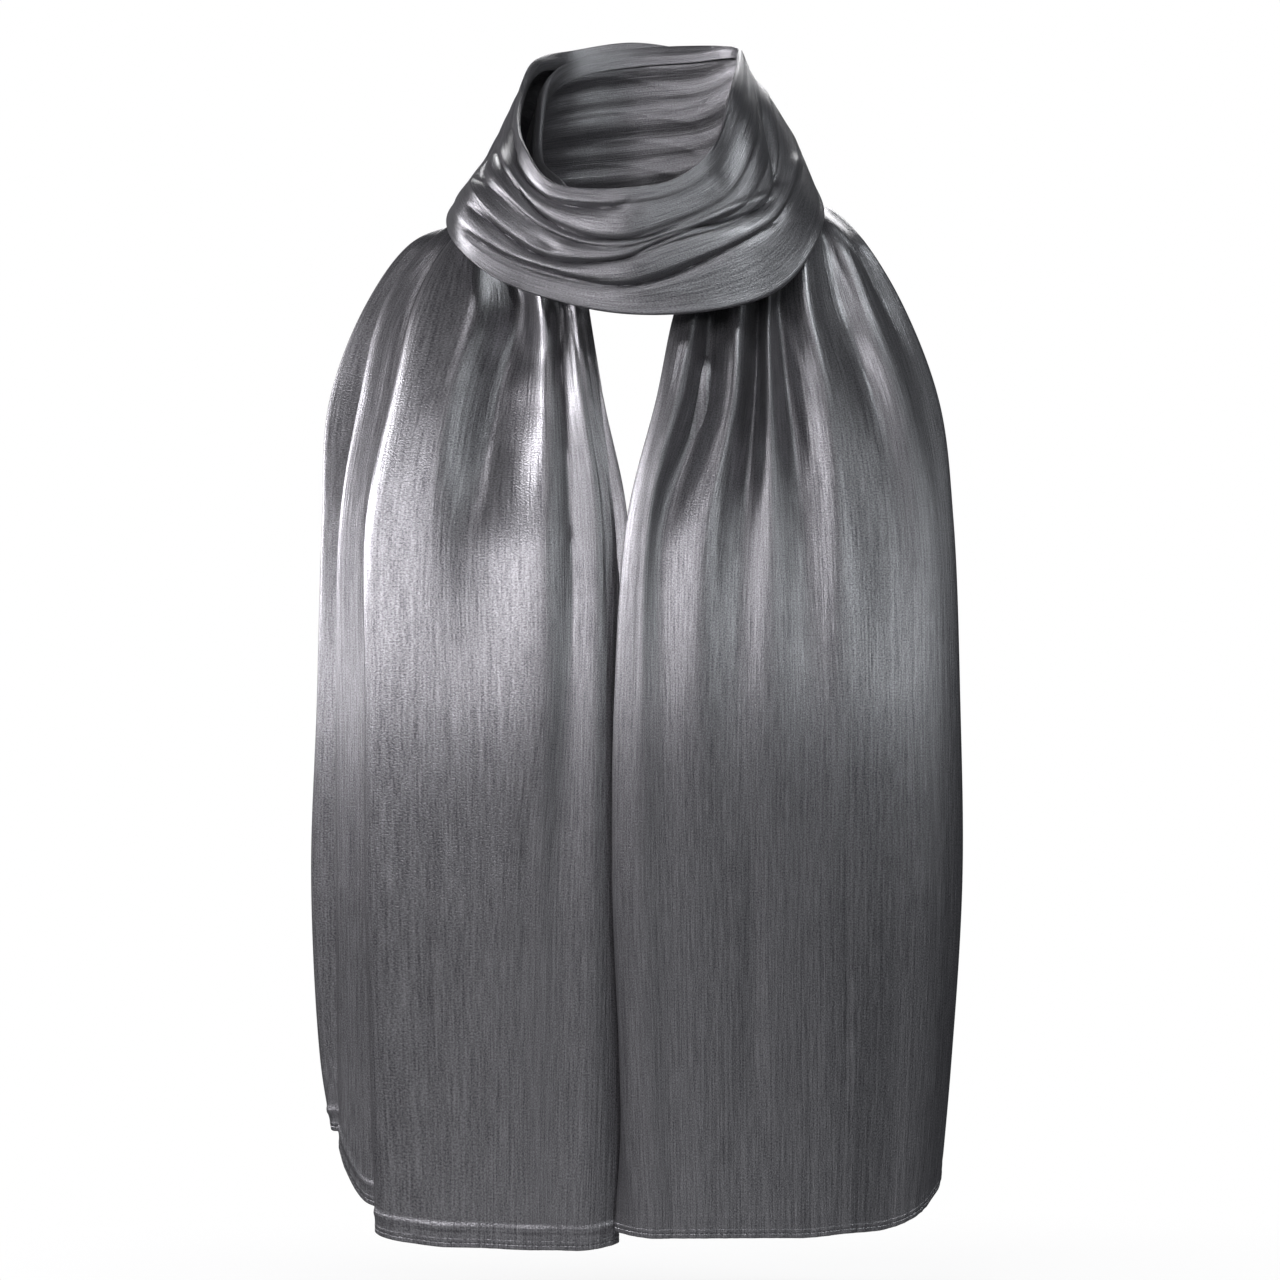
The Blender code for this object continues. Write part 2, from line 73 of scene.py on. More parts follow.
# Depth of the same lines behind the body's front, at the same stations.
LEFT_DEPTH = (
    ("selvage", 15, 21, 22, 23, 23, 22, 22, 21),
    ("back panel", 12, 17, 19, 20, 20, 20, 20, 19),
    ("back turn", 8, 12, 14, 16, 17, 17, 17, 16),
    ("inner fold", 4, 8, 10, 12, 13, 13, 13, 12),
    ("inner ridge", -1, 3, 4, 6, 7, 7, 7, 7),
    ("inner crease", 4, 10, 10, 9, 8.5, 7.5, 6.5, 6),
    ("middle ridge", -2, 0, 1, 2.5, 5, 5.5, 5.5, 5.5),
    ("deep trough", 6, 18, 17, 11, 5.5, 5.5, 5.5, 5.5),
    ("outer ridge", -2, 0, 0, 2, 4, 4.5, 4.5, 4.5),
    ("front pleat", 1, 4, 4, 5, 5, 5, 5, 5),
    ("front tuck", 6, 12, 14, 14, 13, 12, 12, 12),
    ("second band", 5, 12, 14, 14, 13, 12, 12, 12),
    ("second pleat", 5, 12, 14, 14, 13, 12, 12, 12),
    ("second tuck", 11, 20, 23, 22, 20, 20, 20, 21),
    ("outer edge", 10, 19, 22, 22, 20, 20, 20, 21),
    ("outer return", 17, 28, 30, 29, 27, 27, 27, 28),
)
# Fold lines of the right tail, in the same order and columns.
RIGHT_ACROSS = (
    ("selvage", 56, 42, 54, 62, 66, 72, 80, 86, -558),
    ("back panel", 50, 35, 33, 29, 27, 29, 34, 37, -562),
    ("back turn", 43, 27, 15, 0, -7, -8, -7, -14, -565),
    ("inner fold", 36, 21, 9, -7, -14, -15, -11, -8, -567),
    ("inner ridge", 44, 31, 20, 4, -1, -2, 2, 6, -569),
    ("inner trough", 53, 41, 34, 13, 12, 14, 16, 18, -569),
    ("front ridge", 62, 55, 51, 37, 32, 32, 33, 34, -569),
    ("pleat left", 70, 66, 63, 57, 53, 52, 53, 53, -569),
    ("narrow pleat", 75, 71, 71, 73, 73, 73, 73, 73, -569),
    ("pleat right", 80, 77, 82, 88, 92, 92, 92, 92, -569),
    ("side ridge", 90, 92, 104, 111, 114, 114, 114, 112, -567),
    ("side trough", 101, 110, 129, 139, 140, 140, 138, 134, -565),
    ("outer ridge", 110, 125, 145, 156, 158, 159, 155, 148, -560),
    ("outer crease", 118, 137, 155, 166, 168, 169, 164, 157, -553),
    ("outer edge", 125, 146, 166, 173, 176, 177, 171, 165, -537),
    ("outer return", 116, 138, 154, 160, 161, 161, 155, 151, -522),
)
RIGHT_DEPTH = (
    ("selvage", 15, 15, 15, 15, 15, 15, 15, 15),
    ("back panel", 12, 13, 13, 13, 13, 13, 13, 13),
    ("back turn", 9, 9, 9, 9, 9, 9, 9, 8),
    ("inner fold", 4, 3, 3, 3, 3, 3, 3, 3),
    ("inner ridge", -1, -3, -3, -3, -2, -2, -2, -2),
    ("inner trough", 4, 9, 10, 4, -1, -1.5, -1.5, -1.5),
    ("front ridge", -2, -5, -5, -4, -2.5, -2, -2, -2),
    ("pleat left", 4, 10, 9, 4, -0.5, -1.5, -1.5, -1.5),
    ("narrow pleat", 0, -1, -1, -2, -1.5, -1.5, -1.5, -1.5),
    ("pleat right", 4, 9, 8, 3, -0.5, -1.5, -1.5, -1.5),
    ("side ridge", -2, -4, -4, -4, -2, -1.5, -1.5, -1.5),
    ("side trough", 2, 4, 4, 2, 0, 0, 0, 0),
    ("outer ridge", -1, -2, -2, -1, 0, 0, 0, 0),
    ("outer crease", 2, 4, 3, 2, 2, 2, 2, 2),
    ("outer edge", 3, 7, 8, 8, 8, 8, 8, 8),
    ("outer return", 10, 16, 18, 18, 18, 18, 18, 18),
)

# The gathered band at each shoulder. Rows are stations from the nape down to the crest.
# Columns: the band's neck edge x, y, z, its outer edge x, y, z, how far its folds sink.
LEFT_SHOULDER = (
    ("nape", -53, 33, 76, -70, 38, 2, 0.1),
    ("side", -57, 10, 54, -84, 24, -6, 0.6),
    ("crest", -56, -16, 28, -101, 13, -8, 0.9),
)
RIGHT_SHOULDER = (
    ("nape", 64, 62, 60, 78, 72, -10, 0.1),
    ("blade", 87, 47, 20, 101, 48, -13, 0.5),
    ("side", 86, 24, 1, 111, 24, -5, 0.7),
    ("crest", 60, -16, 0, 106, 8, 2, 0.9),
)
# Where the collar row of each tail lies: x, y, z at spots from the neck outwards.
LEFT_COLLAR = (
    ("neck edge", -36, -62, 8),
    ("under the swag", -62, -56, -14),
    ("gathers", -92, -42, -25),
    ("outer gathers", -108, -33, -22),
    ("outer edge", -128, -22, -15),
)
RIGHT_COLLAR = (
    ("neck edge", 36, -70, -22),
    ("under the swag", 62, -60, -16),
    ("gathers", 90, -42, -14),
    ("outer gathers", 110, -34, -14),
    ("outer edge", 125, -30, -18),
)
# Along the shoulder's rows: each fold line's share of the band's width, and how far it
# sinks in mm, always and where the band is gathered.
SHARE = (
    0.14, 0.08, 0.02, 0.0, 0.07, 0.16, 0.26, 0.36,
    0.46, 0.55, 0.64, 0.72, 0.81, 0.89, 1.0, 0.96,
)
ROUNDING = (5, 5, 4, 2, 0, 0, 0, 0, 0, 0, 0, 0, 0, 0, 1, 5)
GATHER = (0, 0, 0, 0, 0, 2, 0, 3, 0, 0, 3, 0, 0, 2.5, 0, 0)
# Share of a fold line's depth by which it also drops at the collar.
COLLAR_DROP = 0.5

# Fold lines of the swag, top to bottom. Columns are turns round the neck in degrees,
# from behind the left side (-) to behind the right side (+).
TURNS = np.radians((-120, -90, -64, -40, -5, 28, 50, 72, 95, 120))
SWAG_ACROSS = (
    ("top", -60, -68, -64, -48, -13, 20, 41, 51, 56, 54),
    ("first crease", -63, -71, -67, -51, -14, 20, 45, 58, 59, 56),
    ("roll top", -67, -78, -75, -52, -15, 18, 51, 66, 62, 58),
    ("roll bottom", -71, -84, -84, -56, -16, 19, 54, 71, 65, 61),
    ("third crease", -75, -89, -94, -62, -18, 22, 58, 77, 73, 66),
    ("fourth crease", -80, -98, -102, -69, -14, 28, 69, 86, 89, 72),
    ("bottom", -85, -106, -101, -74, -13, 48, 80, 101, 96, 77),
)
SWAG_HEIGHT = (
    ("top", 85, 59, 31, 10, 6, 12, 31, 63, 87, 93),
    ("first crease", 76, 51, 20, 2, -3, 3, 20, 51, 82, 87),
    ("roll top", 66, 40, 20, -9, -22, -13, 4, 36, 77, 79),
    ("roll bottom", 55, 30, 11, -14, -27, -18, -5, 22, 72, 70),
    ("third crease", 44, 24, 4, -27, -34, -22, -9, 15, 64, 60),
    ("fourth crease", 29, 13, -12, -36, -48, -36, -16, 8, 36, 38),
    ("bottom", 12, 0, -24, -45, -62, -59, -46, -14, 13, 20),
)
# For each of those lines: how far in front of the neck's middle, how far behind it, how far
# the cloth tucks in at the crease, how much it bulges below it.
SWAG_FORM = (
    ("top", 105, 76, 0, 0.5),
    ("first crease", 107, 77, 1.2, 0.4),
    ("roll top", 109.5, 78, 1.2, 0.3),
    ("roll bottom", 110, 80, 1.2, 0.4),
    ("third crease", 110.5, 82, 1.4, 0.4),
    ("fourth crease", 110, 88, 1.4, 0.4),
    ("bottom", 109, 92, 0, 0),
)
# How much of that tuck and bulge each crease has at each turn.
SWAG_CREASES = (
    ("top", 0.1, 0.5, 0.8, 0.8, 0.8, 0.8, 0.8, 0.8, 0.5, 0.1),
    ("first crease", 0.1, 0.7, 1, 1, 0.7, 0.1, 0, 0, 0, 0),
    ("roll top", 0.1, 0.5, 0.8, 0.9, 0.9, 0.8, 1, 1, 0.3, 0),
    ("roll bottom", 0.1, 0.7, 1, 1, 1, 0.6, 0.4, 0.3, 0, 0),
    ("third crease", 0.1, 0.7, 1, 1, 0.9, 1, 1, 1, 0.5, 0.1),
    ("fourth crease", 0.1, 0.6, 1, 1, 1, 1, 1, 0.9, 0.5, 0.1),
)
# Size of the folded edges at each turn, as a share of ROLL.
SWAG_ROLL = np.array((0.7, 0.7, 0.8, 1.0, 1.0, 1.0, 0.9, 0.7, 0.6, 0.6))
ROLL = 7 * MM
# Rows that turn in behind the swag's top edge and under its bottom edge, as shares of that
# size. Columns: how far towards the neck, how far down along the leaning cloth.
TOP_TURN = (("hidden edge", 0.95, 1.2), ("return", 0.8, 0.7), ("bend", 0.36, 0.05))
BOTTOM_TURN = (("bend", 0.5, -0.05), ("hidden edge", 1.0, -0.8))
# Folds: how steeply the swag's reach falls off sideways, the share of a fold that a crease
# may use beyond so many walls, and where the two rows lie that keep a fold nearly flat.
FRONT_POWER = 0.6
FOLD_ROOM = 0.5
FOLD_WALLS = 3
FACET_ROWS = (0.24, 0.8)

# The two layers behind the neck. Columns: top edge x, y, z, bottom edge x, y, z.
NAPE_UNDER = (
    ("left", -34, 56, 88, -42, 64, 4),
    ("middle", 0, 66, 94, 0, 74, 8),
    ("right", 32, 58, 95, 42, 62, 16),
)
NAPE_OVER = (
    ("left", -38, 70, 93, -52, 80, -2),
    ("middle", 0, 79, 98, 0, 92, -7),
    ("right", 38, 74, 88, 46, 86, -9),
)
# Soft folds in both layers, and how far their two edges turn in. Columns: share of the
# width, reach either side as a share, depth in mm.
NAPE_FOLDS = (
    ("high fold", 0.25, 0.06, 2.4),
    ("upper fold", 0.39, 0.045, 1.2),
    ("middle fold", 0.53, 0.07, 2.6),
    ("lower fold", 0.68, 0.045, 1.3),
    ("low fold", 0.81, 0.055, 2.1),
)
NAPE_TURN = ((0, 5.5), (0.07, 4), (0.14, 0), (0.94, 0), (1, 5))
# Where the marks of FOLD_SHARES lie from top to bottom edge, and the columns between marks.
NAPE_MARKS = (0.12, 0, 1, 0.97)
NAPE_COUNTS = (14, 90, 8)

# Cloth: its thickness, the wall that the solids' sizes were worked out for, and the
# distances between grid points across the cloth, along it and along its hems.
CLOTH = 0.5 * MM
WALL = 1.2 * MM
ACROSS_STEP = 1.25 * MM
ALONG_STEP = 3.8 * MM
HEM_STEP = 0.3 * MM
# The swag's steps across and along, and the nape's along, as shares of those.
SWAG_ACROSS_FINER = 0.65
SWAG_ALONG_FINER = 0.6
NAPE_ALONG_FINER = 0.7
# How far past its end, in stations, each grid has a row that only steers the normals.
GHOST = 0.02
# Marks across the cloth as shares of its width: hidden edge, first fold, last fold, edge.
# Then the lines of a tail that they are, and the shares of the columns behind the neck.
FOLD_SHARES = (0, 0.14, 0.94, 1)
TAIL_MARKS = (0, 3, 14, 15)
NAPE_SHAPE = np.concatenate((
    np.linspace(*FOLD_SHARES[:2], NAPE_COUNTS[0])[:-1],
    np.linspace(*FOLD_SHARES[1:3], NAPE_COUNTS[1]),
    np.linspace(*FOLD_SHARES[2:], NAPE_COUNTS[2])[1:],
))
# Stations that set the columns of a tail's grid and of the swag's.
TAIL_BODY = slice(4, None)
SWAG_MIDDLE = slice(3, -3)
# Width that the ripples and puckers are laid out on, in metres.
CLOTH_WIDTH = 0.27
# How sharply creases begin past the folds, per share of the width.
TAIL_SHARP = 60
SWAG_SHARP = 40
NAPE_SHARP = 30
# Ahead of the neck's middle: where a tail's creases begin, over what distance, and over
# what distance the swag's do.
CREASES_FROM = 20 * MM
CREASES_SOFT = 20 * MM
SWAG_SOFT = 30 * MM
# Behind the neck: how far from the neighbours creases begin, and how sharply, in stations.
NAPE_MARGIN = 0.2
NAPE_SHARP_ALONG = 3
# Cloth that has no hem counts as this far from one, in metres.
NO_HEM = 1.0
# Edges that turn by more stay sharp, and what keeps lengths off zero.
SHARP_TURN = np.radians(70)
TINY_REACH = 1e-6
TINY_LENGTH = 1e-12

# Stitched hem: width, share that it is thicker, over what distance, and how round its edge is.
HEM_BAND = 4.5 * MM
HEM_THICKER = 0.6
HEM_SOFT = 0.6 * MM
HEM_ROUND = 0.9
# Its seam: place, reach on either side, depth.
SEAM_AT = 2.8 * MM
SEAM_REACH = 0.45 * MM
SEAM_DEPTH = 0.2 * MM
# Puckers at the seam: height, pitch, reach up the cloth, how much and how slowly they wander.
PUCKER = 0.22 * MM
PUCKER_PITCH = 8.5 * MM
PUCKER_REACH = 10 * MM
PUCKER_WANDER = 1.4
PUCKER_WANDER_RATE = 0.37
# Pressed ridge above the hem: place, reach on either side, step between its grid rows, then
# its level: mean, and how much and how slowly that varies.
PRESSED_AT = 11 * MM
PRESSED_REACH = 2.0 * MM
PRESSED_STEP = 1.1 * MM
PRESSED_MEAN = 0.85
PRESSED_SWAY = 0.15
PRESSED_SWAY_RATE = 0.21
# Stitches: pitch, length, thickness, share of it that they are lifted, how nearly they close
# at their ends, rings and sides.
STITCH_PITCH = 2.7 * MM
STITCH_LENGTH = 1.8 * MM
STITCH_THICK = 0.45 * MM
STITCH_LIFT = 0.15
STITCH_CLOSED = 0.97
STITCH_RINGS = 7
STITCH_SIDES = 8

# Creases and ridges, listed in mm as seen from the front. Columns: how deep (ridges
# below 0), reach beside it at its start and at its end, how many times that on the right of
# its way, form (1 a sharp line, 2 soft), length faded at its start and at its end, then its
# way as x, z.
LEFT_CREASES = (
    ("inner edge turn", 7, 22, 34, 1, 2, 110, 220,
     ((-36, -56), (-27, -100), (-14, -150), (-6, -200), (-8, -420))),
    ("V trough", 7, 10, 24, 0.8, 2, 75, 62,
     ((-66, -52), (-72, -82), (-77, -112), (-81, -145), (-82, -196))),
    ("inner panel dip", 11, 10, 17, 1, 2, 35, 85,
     ((-55, -55), (-58, -95), (-61, -135), (-64, -197))),
    ("inner crease", 2.4, 1.5, 2.5, 1, 1, 30, 70,
     ((-46, -54), (-42, -110), (-39, -165), (-37, -205), (-38, -280))),
    ("edge pleat 1", 1.6, 1.2, 1.6, 1, 1, 5, 60,
     ((-39, -58), (-33, -90), (-27, -125), (-20, -165), (-18, -260))),
    ("edge pleat 2", 1.3, 1.1, 1.4, 1, 1, 5, 50,
     ((-34.5, -58), (-28, -92), (-22, -130), (-14, -170), (-13, -240))),
    ("edge pleat 3", 1.0, 1.0, 1.2, 1, 1, 5, 40,
     ((-43, -58), (-38, -95), (-33, -135), (-27, -170))),
    ("band fold 1", 1.5, 1.6, 2.0, 1, 1, 8, 120,
     ((-111, -6), (-126, -24), (-141, -50), (-153, -88), (-156, -112), (-164, -151),
      (-166, -230))),
    ("band fold 2", 1.8, 1.6, 2.2, 1, 1, 8, 150,
     ((-106, -14), (-115, -31), (-126, -55), (-136, -100), (-147, -151), (-152, -205),
      (-151, -300))),
    ("low fold", 0.8, 5, 7, 1, 2, 60, 60, ((-60, -300), (-62, -400), (-61, -520))),
    ("low crease", 0.7, 2.2, 2.2, 1, 1, 60, 60, ((-118, -330), (-117, -430), (-117, -540))),
)
RIGHT_CREASES = (
    ("trough 1", 5, 7, 11, 1, 2, 45, 62,
     ((42, -60), (38, -95), (32, -130), (22, -162), (9, -192))),
    ("trough A", 6, 4, 8, 1, 2, 45, 62, ((67, -58), (63, -110), (60, -150), (54, -203))),
    ("trough B", 6, 4, 10, 1, 2, 45, 62, ((76, -56), (81, -100), (86, -140), (88, -192))),
    ("trough B edge", 1.3, 1.5, 2, 1, 1, 8, 40, ((82, -55), (92, -100), (99, -150), (101, -190))),
    ("outer trough", 3.5, 5, 9, 1, 2, 35, 50, ((112, -64), (121, -88), (129, -112), (135, -140))),
    ("outer crease", 2.2, 1.8, 2.4, 1, 1, 8, 40,
     ((105, -10), (117, -24), (126, -38), (136, -58), (143, -72), (150, -92))),
    ("shoulder fold", 1.2, 2, 3, 1, 1, 8, 40, ((100, -16), (109, -30), (119, -52), (128, -80))),
    ("gather 1", 0.7, 2.5, 4, 1, 2, 10, 40, ((96, -38), (103, -66), (110, -100), (116, -140))),
    ("gather 2", -0.5, 3, 4, 1, 2, 10, 40, ((90, -46), (97, -80), (104, -118), (110, -160))),
    ("inner edge line", 1.0, 1.2, 1.4, 1, 1, 6, 60,
     ((27, -66), (18, -105), (6, -150), (0, -200), (-3, -300))),
    ("low fold", 0.8, 5, 7, 1, 2, 60, 60, ((60, -320), (62, -420), (60, -530))),
    ("low crease", 0.6, 2.2, 2.2, 1, 1, 60, 60, ((112, -300), (114, -420), (113, -520))),
)
SWAG_CREASE_LINES = (
    ("under the top edge", 2.2, 0.9, 1.0, 1.6, 1, 6, 14,
     ((-72, 47), (-70, 35), (-68, 19), (-58, 7), (-46, -1), (-31, -4), (-11, -3), (0, 3))),
    ("long crease", 2.9, 0.9, 1.0, 1.6, 1, 8, 40,
     ((-83, 38), (-77, 20), (-66, 5), (-54, -8), (-42, -16), (-27, -21), (0, -21), (19, -14),
      (42, -3))),
    ("second long crease", 1.4, 0.9, 1.0, 1.6, 1, 8, 14,
     ((-97, 18), (-86, 11), (-72, 0), (-57, -13), (-42, -21), (-27, -25), (0, -26))),
    ("middle crease", 2.9, 0.9, 1.0, 1.6, 1, 6, 10,
     ((-96, -1), (-84, -10), (-70, -21), (-57, -29), (-42, -34), (-24, -34), (-5, -31), (9, -24),
      (31, -15), (53, -9), (68, -2), (76, 7))),
    ("upright crease", 3.4, 1.2, 1.4, 1.6, 1, 3, 34, ((76, 9), (75, 22), (71, 44), (63, 75))),
    ("low crease", 2.8, 0.9, 1.1, 1.6, 1, 6, 16,
     ((-99, -15), (-88, -22), (-72, -31), (-55, -37), (-37, -43), (-12, -47), (9, -44), (31, -35),
      (53, -24), (67, -16), (77, -8), (82, 3))),
    ("low band hollow", 1.1, 6, 6, 1, 2, 16, 30,
     ((-94, -27), (-84, -34), (-67, -41), (-48, -46), (-26, -51), (-4, -55), (18, -54),
      (42, -48))),
    ("dimple", 1.8, 3.5, 5, 1, 2, 10, 12, ((-62, -15), (-53, -23), (-40, -31))),
    ("ridge strip", -1.8, 2.6, 2.4, 1, 2, 8, 24,
     ((76, 6), (53, -3), (38, -10), (24, -18), (-5, -22))),
    ("side ridge", -1.4, 3, 3, 1, 2, 8, 8, ((89, 31), (86, 22), (84, 12))),
    ("top band trough", 3, 8, 11, 1, 2, 30, 20, ((46, 60), (51, 36), (50, 18), (46, -2))),
    ("spike crease", 1.6, 0.9, 1.2, 1.6, 1, 8, 14, ((-54, 68), (-60, 54), (-66, 40), (-70, 22))),
)
# Creases on the sides that the photograph hides, in the same columns and as seen from the
# front: the swag's back half, the layers behind the neck, the panels folded behind both tails.
SWAG_BACK_LINES = (
    ("back crease 1", 1.4, 1.6, 1.8, 1, 1, 8, 8, ((-70, 60), (-62, 62), (-56, 66))),
    ("back crease 2", 1.6, 1.6, 1.8, 1, 1, 8, 8, ((-92, 22), (-82, 30), (-70, 36))),
    ("back crease 3", 1.4, 1.6, 1.8, 1, 1, 8, 8, ((90, 40), (80, 50), (68, 60))),
)
NAPE_LINES = (
    ("high crease", 0.5, 2.3, 2.1, 1, 1, 12, 14, ((-44, 72), (-20, 78), (6, 74), (34, 66))),
    ("upper crease", 0.7, 2.3, 2.3, 1, 1, 10, 16, ((-52, 50), (-24, 57), (8, 56), (40, 48))),
    ("middle crease", 0.6, 2.1, 2.3, 1, 1, 14, 10, ((-30, 38), (0, 42), (30, 36), (58, 22))),
    ("lower crease", 0.7, 2.3, 2.3, 1, 1, 10, 12, ((-56, 22), (-26, 28), (10, 25), (46, 12))),
    ("low crease", 0.5, 2.1, 2.1, 1, 1, 12, 12, ((-40, 8), (-8, 10), (26, 6))),
)
LEFT_BACK_LINES = (
    ("long fold", 1.4, 3, 5, 1, 2, 30, 160, ((-50, -70), (-48, -180), (-52, -300), (-58, -420))),
    ("long crease", 1.2, 1.8, 2.2, 1, 1, 20, 140,
     ((-36, -60), (-32, -160), (-30, -280), (-34, -400))),
    ("outer crease", 1.0, 1.8, 2.2, 1, 1, 40, 120,
     ((-62, -180), (-66, -300), (-74, -440), (-78, -520))),
)
RIGHT_BACK_LINES = (
    ("long fold", 1.4, 3, 5, 1, 2, 30, 160, ((38, -70), (34, -180), (32, -300), (38, -420))),
    ("long crease", 1.2, 1.8, 2.2, 1, 1, 20, 140, ((24, -60), (14, -150), (8, -260), (10, -400))),
    ("outer crease", 1.0, 1.8, 2.2, 1, 1, 40, 120,
     ((46, -190), (46, -300), (54, -430), (62, -520))),
)
# Points at which the way of a crease is read.
CREASE_SAMPLES = 48

# Broad ripples of the crinkled cloth. Columns: pitch across, height, length, all in mm.
RIPPLES = (("wide", 13.7, 0.05, 190), ("middle", 8.3, 0.03, 120), ("narrow", 5.9, 0.015, 75))
# Their drift sideways: how much, how fast along the cloth, and the phase between kinds.
DRIFT = 2.2
DRIFT_RATE = 2.1
DRIFT_PHASE = 1.7
# Their swell: mean, how much it varies, phase between kinds, and how fast across, per metre.
SWELL_MEAN = 0.6
SWELL = 0.4
SWELL_PHASE = 2.3
SWELL_ACROSS = 31

# The two stretches that end in a stitched hem: the name of its stitches and its pressed ridge's
# height.
HEMMED = {
    "left_tail": ("left_hem_stitches", 0.9 * MM),
    "right_tail": ("right_hem_stitches", 0.15 * MM),
}

# Satin: its darkest and lightest colour, and the contrast of the shade between them.
SATIN_DARK = (0.095, 0.092, 0.102, 1.0)
SATIN_LIGHT = (0.300, 0.297, 0.312, 1.0)
SHADE_CONTRAST = 1.8
SATIN_METALLIC = 0.85
SATIN_ROUGHNESS = 0.33
# Noise stretched along the cloth. Columns: scale across, along and in depth, roughness,
# contrast. Then the weights of line, fine and grain in the relief and in the shade.
LINE_STREAKS = ((700, 14, 1), 0.5, 1.6)
FINE_STREAKS = ((1400, 60, 1), 0.6, 1.5)
GRAIN_STREAKS = ((1500, 1100, 1), 0.6, 1.6)
RELIEF_WEIGHTS = (0.4, 0.25, 0.35)
SHADE_WEIGHTS = (0.2, 0.3, 0.5)
RELIEF_STRENGTH = 0.8
RELIEF_HEIGHT = 0.00025
THREAD = (0.035, 0.034, 0.038, 1.0)
THREAD_ROUGHNESS = 0.6

# Floor: a disc's radius, corners and height, colour and roughness, from where to where it
# fades out, and from what opacity.
FLOOR_RADIUS = 1.3
FLOOR_CORNERS = 96
FLOOR_HEIGHT = -0.60
FLOOR_COLOUR = (0.93, 0.93, 0.94, 1.0)
FLOOR_ROUGHNESS = 0.8
FLOOR_FADE = (0.15, 0.9)
FLOOR_OPACITY = 0.6
# Surroundings: what the camera sees, and what lights the cloth.
PALE = ((1.0, 1.0, 1.0, 1.0), 1.0)
DIM = ((0.9, 0.92, 1.0, 1.0), 0.07)

# Studio panels. Columns: place, what each is turned to, width and height, power, colour.
CHEST = (0.0, -0.1, -0.2)
NECK = (0.0, 0.0, -0.1)
COOL = (0.95, 1.0, 0.995)
WARM = (1.0, 0.985, 1.0)
WHITE = (1.0, 1.0, 1.0)
PANELS = (
    ("front_panel", (-0.45, -2.3, 0.52), CHEST, (1.1, 0.24), 10, WARM),
    ("left_front_panel", (-1.55, -1.75, 0.52), CHEST, (1.2, 0.24), 14.2, WARM),
    ("left_panel", (-2.3, -0.55, 0.63), CHEST, (1.1, 0.3), 20, WARM),
    ("side_panel", (-2.3, 0.35, 0.62), CHEST, (1.2, 0.3), 42, WARM),
    ("right_panel", (1.45, -1.85, 0.52), CHEST, (1.3, 0.24), 8, COOL),
    ("far_right_panel", (2.2, -0.5, 0.68), CHEST, (1.0, 0.3), 3, COOL),
    ("high_panel", (-0.05, -1.3, 1.65), CHEST, (0.6, 0.35), 5.5, WARM),
    ("high_right_panel", (0.86, -0.62, 1.5), CHEST, (0.6, 0.35), 10, COOL),
    ("front_fill", (0.0, -2.9, -0.35), CHEST, (3.2, 0.9), 1.4, COOL),
    ("low_panel", (-0.2, -1.7, -1.05), CHEST, (1.8, 0.5), 2.5, WHITE),
    ("back_panel", (0.3, 2.2, 1.2), NECK, (1.2, 0.8), 22, WHITE),
)

# Camera: focal length and sensor in mm, and its place. It looks ahead, level.
LENS = 255.7
SENSOR = 36.0
CAMERA_PLACE = (0.0, -5.1, -0.242)


def bend(points, spots):
    """Smooth curve through points along the first axis, read at spots (index plus share).

    Hermite pieces with slopes from both neighbours, each step as long as the square root
    of its chord, so close points make tight turns.
    """
    first = 2 * points[:1] - points[1:2]
    last = 2 * points[-1:] - points[-2:-1]
    chain = np.concatenate((first, points, last))
    reach = np.sqrt(np.linalg.norm(np.diff(chain, axis=0), axis=-1, keepdims=True)) + TINY_REACH
    rate = np.diff(chain, axis=0) / reach
    slope = (rate[:-1] * reach[1:] + rate[1:] * reach[:-1]) / (reach[:-1] + reach[1:])
    low = np.clip(np.floor(spots).astype(int), 0, len(points) - 2)
    t = np.reshape(spots - low, (-1,) + (1,) * (points.ndim - 1))
    step = reach[1:-1][low]
    start, end = points[low], points[low + 1]
    return (
        (2 * t**3 - 3 * t**2 + 1) * start
        + (t**3 - 2 * t**2 + t) * slope[low] * step
        + (3 * t**2 - 2 * t**3) * end
        + (t**3 - t**2) * slope[low + 1] * step
    )


def unit(vectors):
    """Vectors made one long."""
    return vectors / np.maximum(np.linalg.norm(vectors, axis=-1, keepdims=True), TINY_LENGTH)


def steps_between(points, axis=0):
    """Distances between neighbouring points along an axis."""
    return np.linalg.norm(np.diff(points, axis=axis), axis=-1)


def travelled(steps):
    """How far each point of a chain lies from its first, from the steps between them."""
    return np.concatenate(((0,), np.cumsum(steps)))


def numbers(table):
    """The numbers of a table, without the name of each row."""
    return np.array([row[1:] for row in table], dtype=float)


def columns(table):
    """The numbers of a table of millimetres, in metres."""
    return numbers(table) * MM


def shoulder_rows(table, neck_ward):
    """Gathered rows over a shoulder, sunk square to the band, towards the body."""
    rows = columns(table)
    start, width = rows[:, :3], rows[:, 3:6] - rows[:, :3]
    along = unit(np.gradient(start + width / 2, axis=0))
    inward = unit(np.cross(along, unit(width))) * neck_ward
    share = np.array(SHARE)[:, None, None]
    sunk = np.array(ROUNDING)[:, None, None] * MM + np.array(GATHER)[:, None, None] * rows[:, 6:]
    return list(np.swapaxes(start + share * width + sunk * inward, 0, 1))


